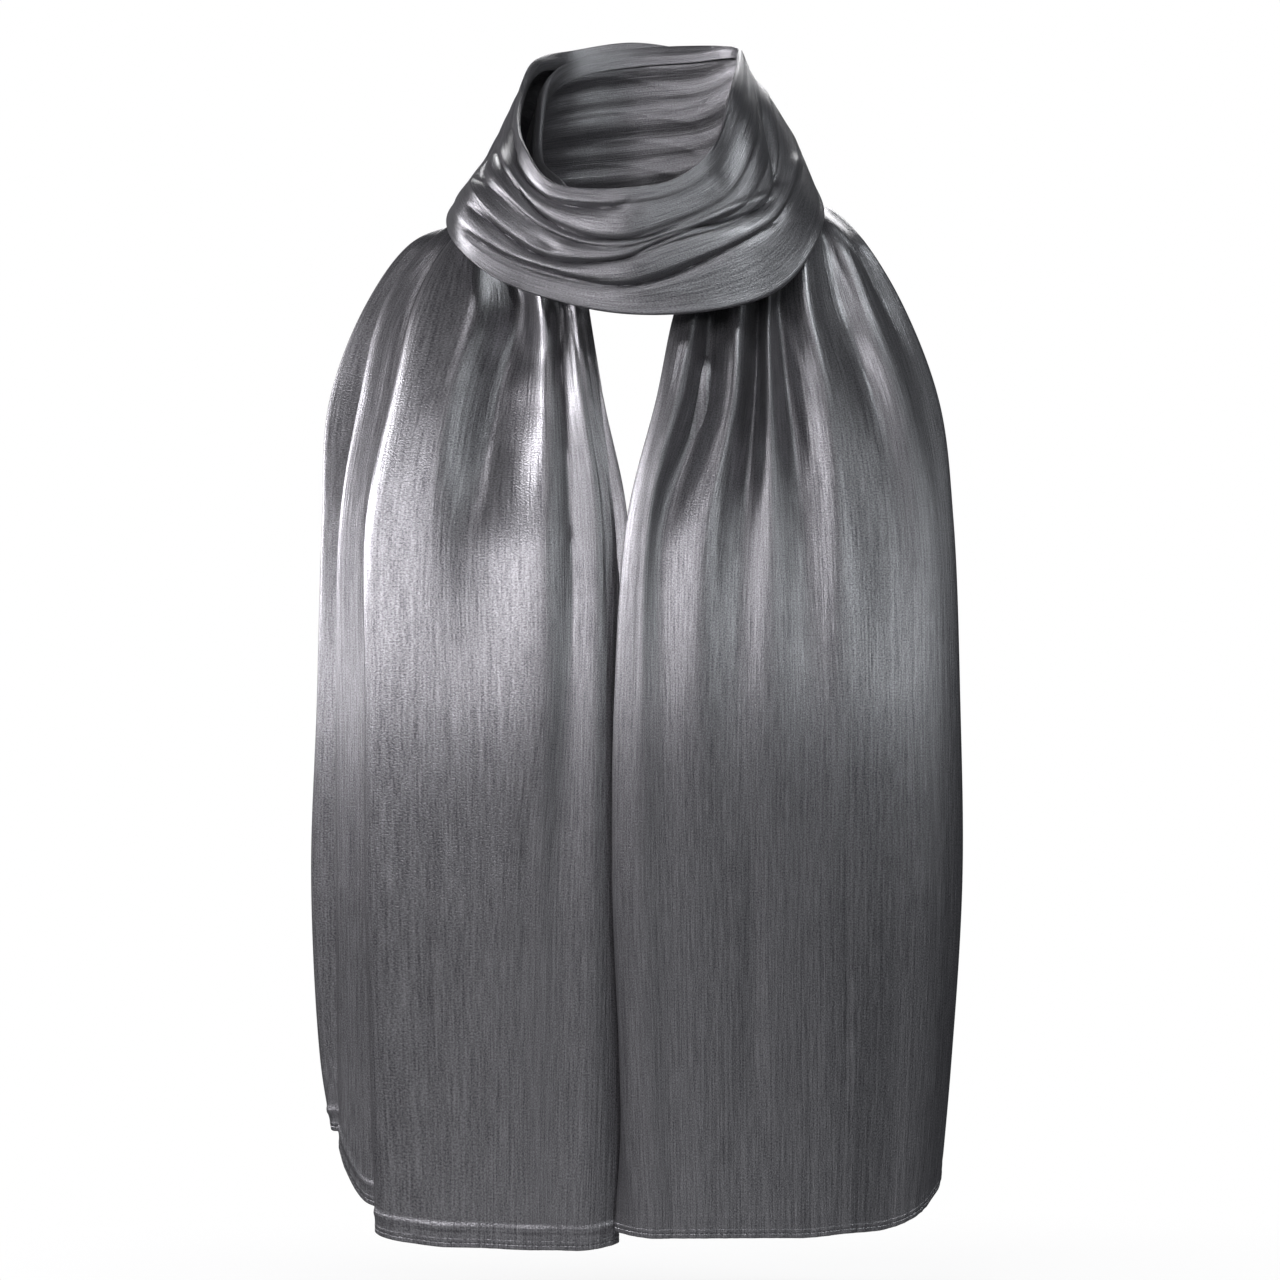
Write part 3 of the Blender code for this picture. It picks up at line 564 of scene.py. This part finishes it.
def tail_lines(across, depth, collar, shoulder, before, neck_ward):
    """Fold lines of a tail by station: past the nape, the shoulder, the collar, the body."""
    x = columns(across)
    d = columns(depth)
    chest_x, hem_z = x[:, 1:8], x[:, 8:]
    z = np.tile(BODY_HEIGHT, (len(x), 1))
    z[:, -1:] = hem_z
    y = BODY_FRONT + BODY_FALL * chest_x**2 + d[:, 1:]
    chest = np.stack((chest_x, y, z), axis=-1)
    spots = columns(collar)
    order = np.argsort(spots[:, 0])
    collar_x = x[:, 0]
    collar_y = np.interp(collar_x, spots[order, 0], spots[order, 1]) + d[:, 0]
    collar_z = np.interp(collar_x, spots[order, 0], spots[order, 2]) - COLLAR_DROP * d[:, 0]
    collar_row = np.stack((collar_x, collar_y, collar_z), axis=-1)
    rows = [before] + shoulder_rows(shoulder, neck_ward) + [collar_row]
    return np.concatenate((np.stack(rows, axis=1), chest), axis=1)


def swag_lines():
    """Fold lines of the swag by turn, with a tuck above and a bulge below each crease.

    A line's depth is its reach times a flattened cosine of the turn in front of the neck,
    and times a plain cosine behind it. Tucks and bulges go square to the leaning cloth.
    """
    x = columns(SWAG_ACROSS)
    z = columns(SWAG_HEIGHT)
    front, back, tuck, bulge = (columns(SWAG_FORM)[:, k:k + 1] for k in range(4))
    cosine = np.cos(TURNS)
    ahead = np.abs(cosine) ** FRONT_POWER * front
    behind = np.abs(cosine) * back
    y = np.where(cosine > 0, -ahead, behind)
    lines = np.stack((x, y, z), axis=-1)
    lean = unit(lines[-1] - lines[0])
    round_neck = unit(np.gradient(lines.mean(axis=0), axis=0))
    out = unit(np.cross(lean, round_neck))
    strong = numbers(SWAG_CREASES)[:, :, None]
    roll = ROLL * SWAG_ROLL[:, None]
    rows = [lines[0] + roll * (down * lean - inward * out) for inward, down in numbers(TOP_TURN)]
    chord = steps_between(lines)[..., None]
    spare = FOLD_ROOM * np.maximum(chord - FOLD_WALLS * WALL, 0)
    for k in range(len(lines) - 1):
        room = np.minimum(spare[k], spare[max(k - 1, 0)])
        low = lines[k] - np.minimum(tuck[k] * strong[k], room) * out
        rows.append(low)
        swell = np.minimum(bulge[k] * strong[k], spare[k])
        rows += [low + share * (lines[k + 1] - low) + swell * out for share in FACET_ROWS]
    rows.append(lines[-1])
    for inward, down in numbers(BOTTOM_TURN):
        rows.append(lines[-1] + roll * (down * lean - inward * out))
    return np.stack(rows)


def line_shares(marks):
    """Share of the cloth's width at each fold line, from the lines that the marks are."""
    return np.interp(np.arange(marks[-1] + 1), marks, FOLD_SHARES)


def nape_section(row, shape):
    """A section behind the neck: its edges shared out and turned in, with bell-shaped folds."""
    edges = np.array(row[1:], dtype=float) * MM
    share = np.interp(shape, FOLD_SHARES, NAPE_MARKS)[:, None]
    turn = np.array(NAPE_TURN)
    depth = np.interp(shape, turn[:, 0], turn[:, 1])
    for at, reach, size in numbers(NAPE_FOLDS):
        depth = depth + size * np.exp(-(((shape - at) / reach) ** 2))
    middle = (edges[:3] + edges[3:]) / 2
    inward = unit(-middle * np.array((1, 1, 0)))
    return edges[:3] + share * (edges[3:] - edges[:3]) + depth[:, None] * MM * inward


def grid(lines, across_spots, along_spots):
    """Surface through the fold lines: first along each line, then across the lines."""
    along = bend(np.swapaxes(lines, 0, 1), along_spots)
    return bend(np.swapaxes(along, 0, 1), across_spots)


def parts_between(gaps, step):
    """Spots on a chain of points, each gap cut into equal parts no longer than a step."""
    counts = np.maximum(np.ceil(gaps / step).astype(int), 2)
    return np.concatenate([k + np.arange(n) / n for k, n in enumerate(counts)] + [[len(counts)]])


def crease_depth(seen, creases):
    """How deep each point sinks, from its place as seen from the front.

    Each crease is a soft curve. Beside it the cloth sinks by its depth times
    exp(-(d / reach) ^ form), d being the distance from the curve. It starts softly. With e the
    share of the end fade still ahead, its depth runs out as e * e * (2 - e), softly at the tip.
    """
    sunk = np.zeros(seen.shape[:-1])
    for _, depth, start_reach, end_reach, right, form, start_fade, end_fade, way in creases:
        curve = bend(np.array(way, dtype=float), np.linspace(0, len(way) - 1, CREASE_SAMPLES)) * MM
        heading_on = unit(np.gradient(curve, axis=0))
        passed = travelled(steps_between(curve))
        nearest = ((seen[..., None, :] - curve) ** 2).sum(axis=-1).argmin(axis=-1)
        offset = seen - curve[nearest]
        ahead = (offset * heading_on[nearest]).sum(axis=-1)
        leftward = heading_on[nearest][..., ::-1] * np.array((-1, 1))
        beside = (offset * leftward).sum(axis=-1)
        along = passed[nearest] + ahead
        share = np.clip(along / passed[-1], 0, 1)
        reach = (start_reach + share * (end_reach - start_reach)) * MM
        near_start = smooth(along / (start_fade * MM))
        to_go = np.clip((passed[-1] - along) / (end_fade * MM), 0, 1)
        near_end = to_go * to_go * (2 - to_go)
        reach = np.where(beside < 0, reach * right, reach)
        sunk += depth * MM * np.exp(-(np.abs(beside / reach) ** form)) * near_start * near_end
    return sunk


def smooth(share):
    """A soft step from 0 to 1: s * s * (3 - 2 s)."""
    share = np.clip(share, 0, 1)
    return share * share * (3 - 2 * share)


def ripple(width_place, length_place):
    """Height of the broad ripples: sines across the cloth that drift and fade along it.

    With w the place across, l the place along and k the number of the ripple, each adds
    size * (mean + swell * sin(pi l / length + phase k + across w))
    * sin(2 pi w / pitch + drift * sin(rate l / length + phase k)).
    """
    height = 0
    for k, (_, pitch, size, length) in enumerate(RIPPLES):
        along = length_place / (length * MM)
        drift = DRIFT * np.sin(along * DRIFT_RATE + DRIFT_PHASE * k)
        phase = along * np.pi + SWELL_PHASE * k + width_place * SWELL_ACROSS
        swell = SWELL_MEAN + SWELL * np.sin(phase)
        wave = np.sin(width_place / (pitch * MM) * 2 * np.pi + drift)
        height = height + size * MM * swell * wave
    return height


def thickness(from_hem):
    """Half the cloth's thickness: more at the hem, drawn in at its seam, round at its edge.

    The seam is a bell, exp(-(d / reach) ^ 2), and the edge sqrt(1 - round * (1 - e) ^ 2), e
    going from 0 at the edge to 1.
    """
    doubled = smooth((HEM_BAND + HEM_SOFT - from_hem) / HEM_SOFT)
    seam = SEAM_DEPTH * np.exp(-(((from_hem - SEAM_AT) / SEAM_REACH) ** 2))
    half = CLOTH / 2 * (1 + HEM_THICKER * doubled) - seam
    edge = np.clip(from_hem / HEM_SOFT, 0, 1)
    return half * np.sqrt(1 - (1 - edge) ** 2 * HEM_ROUND)


def hem_wave(from_hem, width_place, pressed):
    """Puckers that the seam draws in along the hem, and the pressed ridge above it.

    Puckers are a sine of wandering phase times exp(-d / reach), and the ridge is a bell,
    exp(-(d / reach) ^ 2), of slowly varying height.
    """
    phase = width_place / PUCKER_PITCH * 2 * np.pi
    wander = PUCKER_WANDER * np.sin(phase * PUCKER_WANDER_RATE)
    waves = np.sin(phase + wander) * np.exp(-from_hem / PUCKER_REACH)
    ridge = np.exp(-(((from_hem - PRESSED_AT) / PRESSED_REACH) ** 2))
    level = PRESSED_MEAN + PRESSED_SWAY * np.sin(phase * PRESSED_SWAY_RATE)
    return PUCKER * waves + pressed * ridge * level


def grid_normals(points):
    """Unit normals of a grid, from the cross product of its two directions."""
    return unit(np.cross(np.gradient(points, axis=0), np.gradient(points, axis=1)))


def shell(name, points, width_spots, length_start, pressed=None):
    """Thin closed cloth on a grid whose first and last rows only steer the slopes.

    Both faces lie half a thickness off the grid along its normal. The weave map runs across
    the cloth as a share of its width and along it in metres, through all the stretches.
    Pressed is the height of the ridge over the hem, None for cloth without one. The cloth,
    the length reached and the cloth's own points, normals and distances from the hem come
    back.
    """
    rows = steps_between(points, 1).mean(axis=0)
    length = length_start + travelled(rows[1:-1])
    width_place = (width_spots * CLOTH_WIDTH)[:, None]
    far = np.concatenate((length[:1] - rows[0], length, length[-1:] + rows[-1]))
    points = points + grid_normals(points) * ripple(width_place, far)[..., None]
    from_hem = np.full(points.shape[:2], NO_HEM)
    if pressed is not None:
        left_over = steps_between(points, 1)[:, ::-1]
        from_hem[:, :-1] = np.cumsum(left_over, axis=1)[:, ::-1]
        from_hem = np.maximum(from_hem - left_over[:, :1], 0)
        wave = hem_wave(from_hem, width_place, pressed)
        points = points + grid_normals(points) * wave[..., None]
    normal = grid_normals(points)
    points, normal, from_hem = points[:, 1:-1], normal[:, 1:-1], from_hem[:, 1:-1]
    off = normal * thickness(from_hem)[..., None]
    count_u, count_v = points.shape[:2]
    verts = np.concatenate(((points + off).reshape(-1, 3), (points - off).reshape(-1, 3)))
    total = count_u * count_v
    number = np.arange(total).reshape(count_u, count_v)
    corners = (number[:-1, :-1], number[1:, :-1], number[1:, 1:], number[:-1, 1:])
    front = np.stack(corners, axis=-1).reshape(-1, 4)
    back = front[:, ::-1] + total
    rim = np.concatenate((number[:-1, 0], number[-1, :-1], number[:0:-1, -1], number[0, :0:-1]))
    follow = np.roll(rim, -1)
    side = np.stack((follow, rim, rim + total, follow + total), axis=-1)
    faces = np.concatenate((front, back, side))
    weave = np.stack(np.broadcast_arrays(width_place, length), axis=-1).reshape(-1, 2)
    piece = mesh_piece(name, verts, faces, np.concatenate((weave, weave)))
    return piece, length[-1], (points, normal, from_hem)


def add_object(name, data):
    """A new object in the scene."""
    made = bpy.data.objects.new(name, data)
    bpy.context.scene.collection.objects.link(made)
    return made


def mesh_piece(name, verts, faces, weave):
    """An object of a mesh, smooth but for its sharp edges, with its weave map."""
    mesh = bpy.data.meshes.new(name)
    mesh.from_pydata(verts.tolist(), [], faces.tolist())
    layer = mesh.uv_layers.new(name="weave")
    layer.data.foreach_set("uv", weave[faces.ravel()].ravel())
    mesh.shade_smooth()
    mesh.set_sharp_from_angle(angle=SHARP_TURN)
    return add_object(name, mesh)


def stitches(name, hem_rows):
    """A row of short thread stitches along the hem's seam, on both faces of the cloth.

    Each is a bead: rings whose radius is sqrt(1 - closed * s ^ 2) times half the thickness,
    s running from -1 to 1 along the stitch.
    """
    points, normal, from_hem = hem_rows
    row = np.abs(from_hem - SEAM_AT).argmin(axis=1)[:, None, None]
    seam = np.take_along_axis(points, row, axis=1)[:, 0]
    out = np.take_along_axis(normal, row, axis=1)[:, 0]
    place = travelled(steps_between(seam))
    lift = CLOTH / 2 * (1 + HEM_THICKER) - SEAM_DEPTH + STITCH_THICK * STITCH_LIFT
    spots = np.arange(STITCH_PITCH, place[-1] - STITCH_PITCH, STITCH_PITCH)
    ring = np.linspace(0, 2 * np.pi, STITCH_SIDES, endpoint=False)
    steps = np.linspace(-1, 1, STITCH_RINGS)
    radius = np.sqrt(1 - STITCH_CLOSED * steps**2) * STITCH_THICK / 2
    verts = []
    for face, shift in ((1, 0), (-1, STITCH_PITCH / 2)):
        reached = spots[:, None] + shift + steps * STITCH_LENGTH / 2
        middle, up = (
            np.stack([np.interp(reached, place, read[:, k]) for k in range(3)], axis=-1)
            for read in (seam, out)
        )
        up = unit(up) * face
        way = unit(np.gradient(middle, axis=1))
        sideways = np.cross(way, up)
        round_x = (np.cos(ring) * radius[:, None])[None, :, :, None] * sideways[:, :, None]
        round_y = (np.sin(ring) * radius[:, None])[None, :, :, None] * up[:, :, None]
        verts.append((middle + lift * up)[:, :, None] + round_x + round_y)
    verts = np.concatenate(verts)
    count, rings, sides = verts.shape[:3]
    number = np.arange(rings * sides).reshape(rings, sides)
    turned = np.roll(number, -1, axis=1)
    tube = np.stack((number[:-1], number[1:], turned[1:], turned[:-1]), axis=-1).reshape(-1, 4)
    faces = []
    for k in range(count):
        base = k * rings * sides
        faces += (tube + base).tolist()
        faces.append((number[0] + base).tolist())
        faces.append((number[-1, ::-1] + base).tolist())
    mesh = bpy.data.meshes.new(name)
    mesh.from_pydata(verts.reshape(-1, 3).tolist(), [], faces)
    mesh.shade_smooth()
    return add_object(name, mesh)


def between_folds(share, sharp):
    """1 between the first and the last fold of the cloth's width, softly 0 outside them."""
    return smooth((share - FOLD_SHARES[1]) * sharp) * smooth((FOLD_SHARES[2] - share) * sharp)


def spots_along(lines, finer):
    """Spots along a stretch that ends on its neighbours' sections, and the row past each end."""
    steps = steps_between(lines, 1).mean(axis=0)
    spots = parts_between(steps[1:-1], ALONG_STEP * finer) + 1
    return np.concatenate(((1 - GHOST,), spots, (lines.shape[1] - 2 + GHOST,)))


def fine_tail(lines, creases, back_creases):
    """Points of a tail on a fine grid, and each column's share of the cloth's width.

    The front layer, between its folded edges, takes the creases straight back, and the
    panel folded behind it takes its own straight ahead.
    """
    across_spots = parts_between(steps_between(lines)[:, TAIL_BODY].mean(axis=1), ACROSS_STEP)
    steps = steps_between(lines, 1).mean(axis=0)
    along_spots = parts_between(steps[1:], ALONG_STEP) + 1
    last = lines.shape[1] - 1
    near_hem = (HEM_BAND + 2 * HEM_SOFT) / steps[-1]
    hem_spots = np.linspace(last - near_hem, last, int(near_hem * steps[-1] / HEM_STEP))
    near_crease = (PRESSED_AT + 2 * PRESSED_REACH) / steps[-1]
    crease_spots = np.arange(last - near_crease, last - near_hem, PRESSED_STEP / steps[-1])
    along_spots = along_spots[along_spots < last - near_crease]
    along_spots = np.concatenate(((1 - GHOST,), along_spots, crease_spots, hem_spots, (last,)))
    points = grid(lines, across_spots, along_spots)
    points[:, -1] = 2 * points[:, -2] - points[:, -3]
    share = np.interp(across_spots, TAIL_MARKS, FOLD_SHARES)
    front = between_folds(share, TAIL_SHARP)
    ahead = smooth((-points[..., 1] - CREASES_FROM) / CREASES_SOFT)
    behind = smooth((FOLD_SHARES[1] - share) * TAIL_SHARP)
    seen = points[..., (0, 2)]
    sunk = crease_depth(seen, creases) * front[:, None]
    points[..., 1] += (sunk - crease_depth(seen, back_creases) * behind[:, None]) * ahead
    return points, share


def fine_swag(lines, marks):
    """Points of the swag on a fine grid, and each column's share of the cloth's width.

    Its outer layer takes the creases square to the leaning cloth, those of the front where
    it lies ahead of the neck and those of the back behind it.
    """
    gaps = steps_between(lines)[:, SWAG_MIDDLE].mean(axis=1)
    across_spots = parts_between(gaps, ACROSS_STEP * SWAG_ACROSS_FINER)
    points = grid(lines, across_spots, spots_along(lines, SWAG_ALONG_FINER))
    share = np.interp(across_spots, marks, FOLD_SHARES)
    outer = between_folds(share, SWAG_SHARP)
    top, low = np.searchsorted(share, FOLD_SHARES[1:3])
    lean = unit(points[low] - points[top])
    inward = unit(np.cross(unit(np.gradient(points[top:low].mean(axis=0), axis=0)), lean))
    seen = points[..., (0, 2)]
    sunk = crease_depth(seen, SWAG_CREASE_LINES) * smooth(-points[..., 1] / SWAG_SOFT)
    sunk += crease_depth(seen, SWAG_BACK_LINES) * smooth(points[..., 1] / SWAG_SOFT)
    return points + (sunk * outer[:, None])[..., None] * inward, share


def fine_nape(before, rows, after):
    """Points behind the neck between two sections that the neighbours end on."""
    middle = [nape_section(row, NAPE_SHAPE) for row in rows]
    lines = np.stack(before + middle + after, axis=1)
    along = spots_along(lines, NAPE_ALONG_FINER)
    points = np.swapaxes(bend(np.swapaxes(lines, 0, 1), along), 0, 1)
    outer = between_folds(NAPE_SHAPE, NAPE_SHARP)
    begins = smooth((along - (1 + NAPE_MARGIN)) * NAPE_SHARP_ALONG)
    last = lines.shape[1] - 2
    between = begins * smooth((last - NAPE_MARGIN - along) * NAPE_SHARP_ALONG)
    sunk = crease_depth(points[..., (0, 2)], NAPE_LINES) * outer[:, None] * between
    points[..., 1] -= sunk
    return points, NAPE_SHAPE


def sections(lines, stations, marks):
    """Sections of a stretch at some stations, read at the shares that a nape layer uses."""
    spots = np.interp(NAPE_SHAPE, FOLD_SHARES, marks)
    return [bend(lines[:, station], spots) for station in stations]


class Signal:
    """A socket of a material; sums, differences and products with it add Math nodes."""

    def __init__(self, paint, socket):
        self.paint = paint
        self.socket = socket

    def math(self, operation, other):
        return self.paint.node("ShaderNodeMath", {"operation": operation}, {0: self, 1: other})

    def __add__(self, other):
        return self.math("ADD", other)

    def __sub__(self, other):
        return self.math("SUBTRACT", other)

    def __mul__(self, other):
        return self.math("MULTIPLY", other)


class Paint:
    """A material's nodes, added one by one."""

    def __init__(self, name):
        self.material = bpy.data.materials.new(name)
        self.material.use_nodes = True
        self.tree = self.material.node_tree
        self.shader = self.tree.nodes["Principled BSDF"]

    def put(self, node, key, value):
        if isinstance(value, Signal):
            self.tree.links.new(value.socket, node.inputs[key])
        else:
            node.inputs[key].default_value = value

    def node(self, kind, settings, sockets, out=0):
        """A node of a kind: its settings first, then values or links for its sockets."""
        made = self.tree.nodes.new(kind)
        for key, value in settings.items():
            setattr(made, key, value)
        for key, value in sockets.items():
            self.put(made, key, value)
        return Signal(self, made.outputs[out])

    def set(self, **sockets):
        """Values or links for the shader's own sockets, spaces in their names as _."""
        for key, value in sockets.items():
            self.put(self.shader, key.replace("_", " "), value)


def crinkled_satin():
    """Charcoal satin: streaks of crinkle along the cloth, a fine grain and a soft gloss.

    Each kind of streak is noise stretched about its middle, (noise - 0.5) * contrast + 0.5.
    Their weighted sums are the height of the relief and, stretched again, the shade.
    """
    paint = Paint("charcoal_satin")
    weave = paint.node("ShaderNodeUVMap", {"uv_map": "weave"}, {})

    def streaks(scale, rough, contrast):
        stretched = paint.node(
            "ShaderNodeMapping", {"vector_type": "POINT"}, {"Vector": weave, "Scale": scale}
        )
        noise = paint.node(
            "ShaderNodeTexNoise", {"noise_dimensions": "2D"},
            {"Vector": stretched, "Scale": 1.0, "Detail": 1.0, "Roughness": rough},
        )
        return (noise - 0.5) * contrast + 0.5

    def weighted(weights):
        return line * weights[0] + fine * weights[1] + grain * weights[2]

    line = streaks(*LINE_STREAKS)
    fine = streaks(*FINE_STREAKS)
    grain = streaks(*GRAIN_STREAKS)
    relief = weighted(RELIEF_WEIGHTS)
    bump = paint.node(
        "ShaderNodeBump", {},
        {"Strength": RELIEF_STRENGTH, "Distance": RELIEF_HEIGHT, "Height": relief},
    )
    shade = (weighted(SHADE_WEIGHTS) - 0.5) * SHADE_CONTRAST + 0.5
    colour = paint.node(
        "ShaderNodeMix", {"data_type": "RGBA"}, {0: shade, 6: SATIN_DARK, 7: SATIN_LIGHT}, 2
    )
    paint.set(
        Base_Color=colour, Metallic=SATIN_METALLIC, Roughness=SATIN_ROUGHNESS, Normal=bump
    )
    return paint.material


def sewing_thread():
    """Matt thread in the cloth's colour."""
    paint = Paint("sewing_thread")
    paint.set(Base_Color=THREAD, Roughness=THREAD_ROUGHNESS)
    return paint.material


def area_light(name, place, aim, size, power, colour):
    """A soft studio panel turned towards a point; the camera doesn't see it."""
    light = bpy.data.lights.new(name, "AREA")
    light.shape = "RECTANGLE"
    light.size, light.size_y = size
    light.energy = power
    light.color = colour
    lamp = add_object(name, light)
    lamp.location = place
    lamp.rotation_mode = "QUATERNION"
    lamp.rotation_quaternion = (Vector(aim) - Vector(place)).to_track_quat("-Z", "Y")
    lamp.visible_camera = False


def studio():
    """Pale floor, pale surroundings, soft panels and the camera of the photograph."""
    floor_mesh = bpy.data.meshes.new("floor")
    turn = np.linspace(0, 2 * np.pi, FLOOR_CORNERS, endpoint=False)
    height = np.full(FLOOR_CORNERS, FLOOR_HEIGHT)
    rim = np.stack((FLOOR_RADIUS * np.cos(turn), FLOOR_RADIUS * np.sin(turn), height), axis=-1)
    floor_mesh.from_pydata(rim.tolist(), [], [list(range(FLOOR_CORNERS))])
    floor = add_object("floor", floor_mesh)
    paint = Paint("pale_floor")
    place = paint.node("ShaderNodeTexCoord", {}, {}, 3)
    far = paint.node("ShaderNodeVectorMath", {"operation": "LENGTH"}, {0: place}, 1)
    begins, ends = FLOOR_FADE
    fade = paint.node(
        "ShaderNodeMapRange", {"interpolation_type": "SMOOTHSTEP"},
        {"Value": far, "From Min": begins, "From Max": ends, "To Min": FLOOR_OPACITY, "To Max": 0},
    )
    paint.set(Base_Color=FLOOR_COLOUR, Roughness=FLOOR_ROUGHNESS, Alpha=fade)
    floor_mesh.materials.append(paint.material)

    world = bpy.data.worlds.new("surroundings")
    bpy.context.scene.world = world
    world.use_nodes = True
    tree = world.node_tree
    tree.nodes.clear()
    seen = tree.nodes.new("ShaderNodeLightPath")
    pale = tree.nodes.new("ShaderNodeBackground")
    dim = tree.nodes.new("ShaderNodeBackground")
    for background, (colour, strength) in ((pale, PALE), (dim, DIM)):
        background.inputs["Color"].default_value = colour
        background.inputs["Strength"].default_value = strength
    mixed = tree.nodes.new("ShaderNodeMixShader")
    out = tree.nodes.new("ShaderNodeOutputWorld")
    tree.links.new(seen.outputs["Is Camera Ray"], mixed.inputs["Fac"])
    tree.links.new(dim.outputs[0], mixed.inputs[1])
    tree.links.new(pale.outputs[0], mixed.inputs[2])
    tree.links.new(mixed.outputs[0], out.inputs["Surface"])

    for panel in PANELS:
        area_light(*panel)

    camera = bpy.data.cameras.new("camera")
    camera.lens = LENS
    camera.sensor_width = SENSOR
    view = add_object("camera", camera)
    view.location = CAMERA_PLACE
    view.rotation_euler = (np.pi / 2, 0.0, 0.0)
    bpy.context.scene.camera = view
    bpy.context.scene.view_settings.view_transform = "Standard"


def dress():
    """The five stretches of the cloth, in the order of the cloth."""
    satin = crinkled_satin()
    tail_share = line_shares(TAIL_MARKS)
    left_start = nape_section(NAPE_UNDER[0], tail_share)
    left = tail_lines(LEFT_ACROSS, LEFT_DEPTH, LEFT_COLLAR, LEFT_SHOULDER, left_start, 1)
    right_start = nape_section(NAPE_OVER[-1], tail_share)
    right = tail_lines(RIGHT_ACROSS, RIGHT_DEPTH, RIGHT_COLLAR, RIGHT_SHOULDER, right_start, -1)
    swag = swag_lines()
    last = len(swag) - 1
    marks = (0, len(TOP_TURN), last - len(BOTTOM_TURN), last)
    ends = [nape_section(row, line_shares(marks)) for row in (NAPE_OVER[0], NAPE_UNDER[-1])]
    swag = np.concatenate((ends[0][:, None], swag, ends[1][:, None]), axis=1)
    stretches = {
        "left_tail": fine_tail(left, LEFT_CREASES, LEFT_BACK_LINES),
        "nape_under": fine_nape(
            sections(left, (2, 1), TAIL_MARKS), NAPE_UNDER, sections(swag, (-2, -3), marks)
        ),
        "neck_swag": fine_swag(swag, marks),
        "nape_over": fine_nape(
            sections(swag, (2, 1), marks), NAPE_OVER, sections(right, (1, 2), TAIL_MARKS)
        ),
        "right_tail": fine_tail(right, RIGHT_CREASES, RIGHT_BACK_LINES),
    }
    start = 0.0
    for node, (points, share) in stretches.items():
        thread_name, pressed = HEMMED.get(node, (None, None))
        piece, start, hem_rows = shell(node + "_satin", points, share, start, pressed)
        piece.data.materials.append(satin)
        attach(piece, "root")
        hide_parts(node)
        if thread_name:
            thread = stitches(thread_name, hem_rows)
            thread.data.materials.append(sewing_thread())
            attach(thread, "root")


dress()
studio()
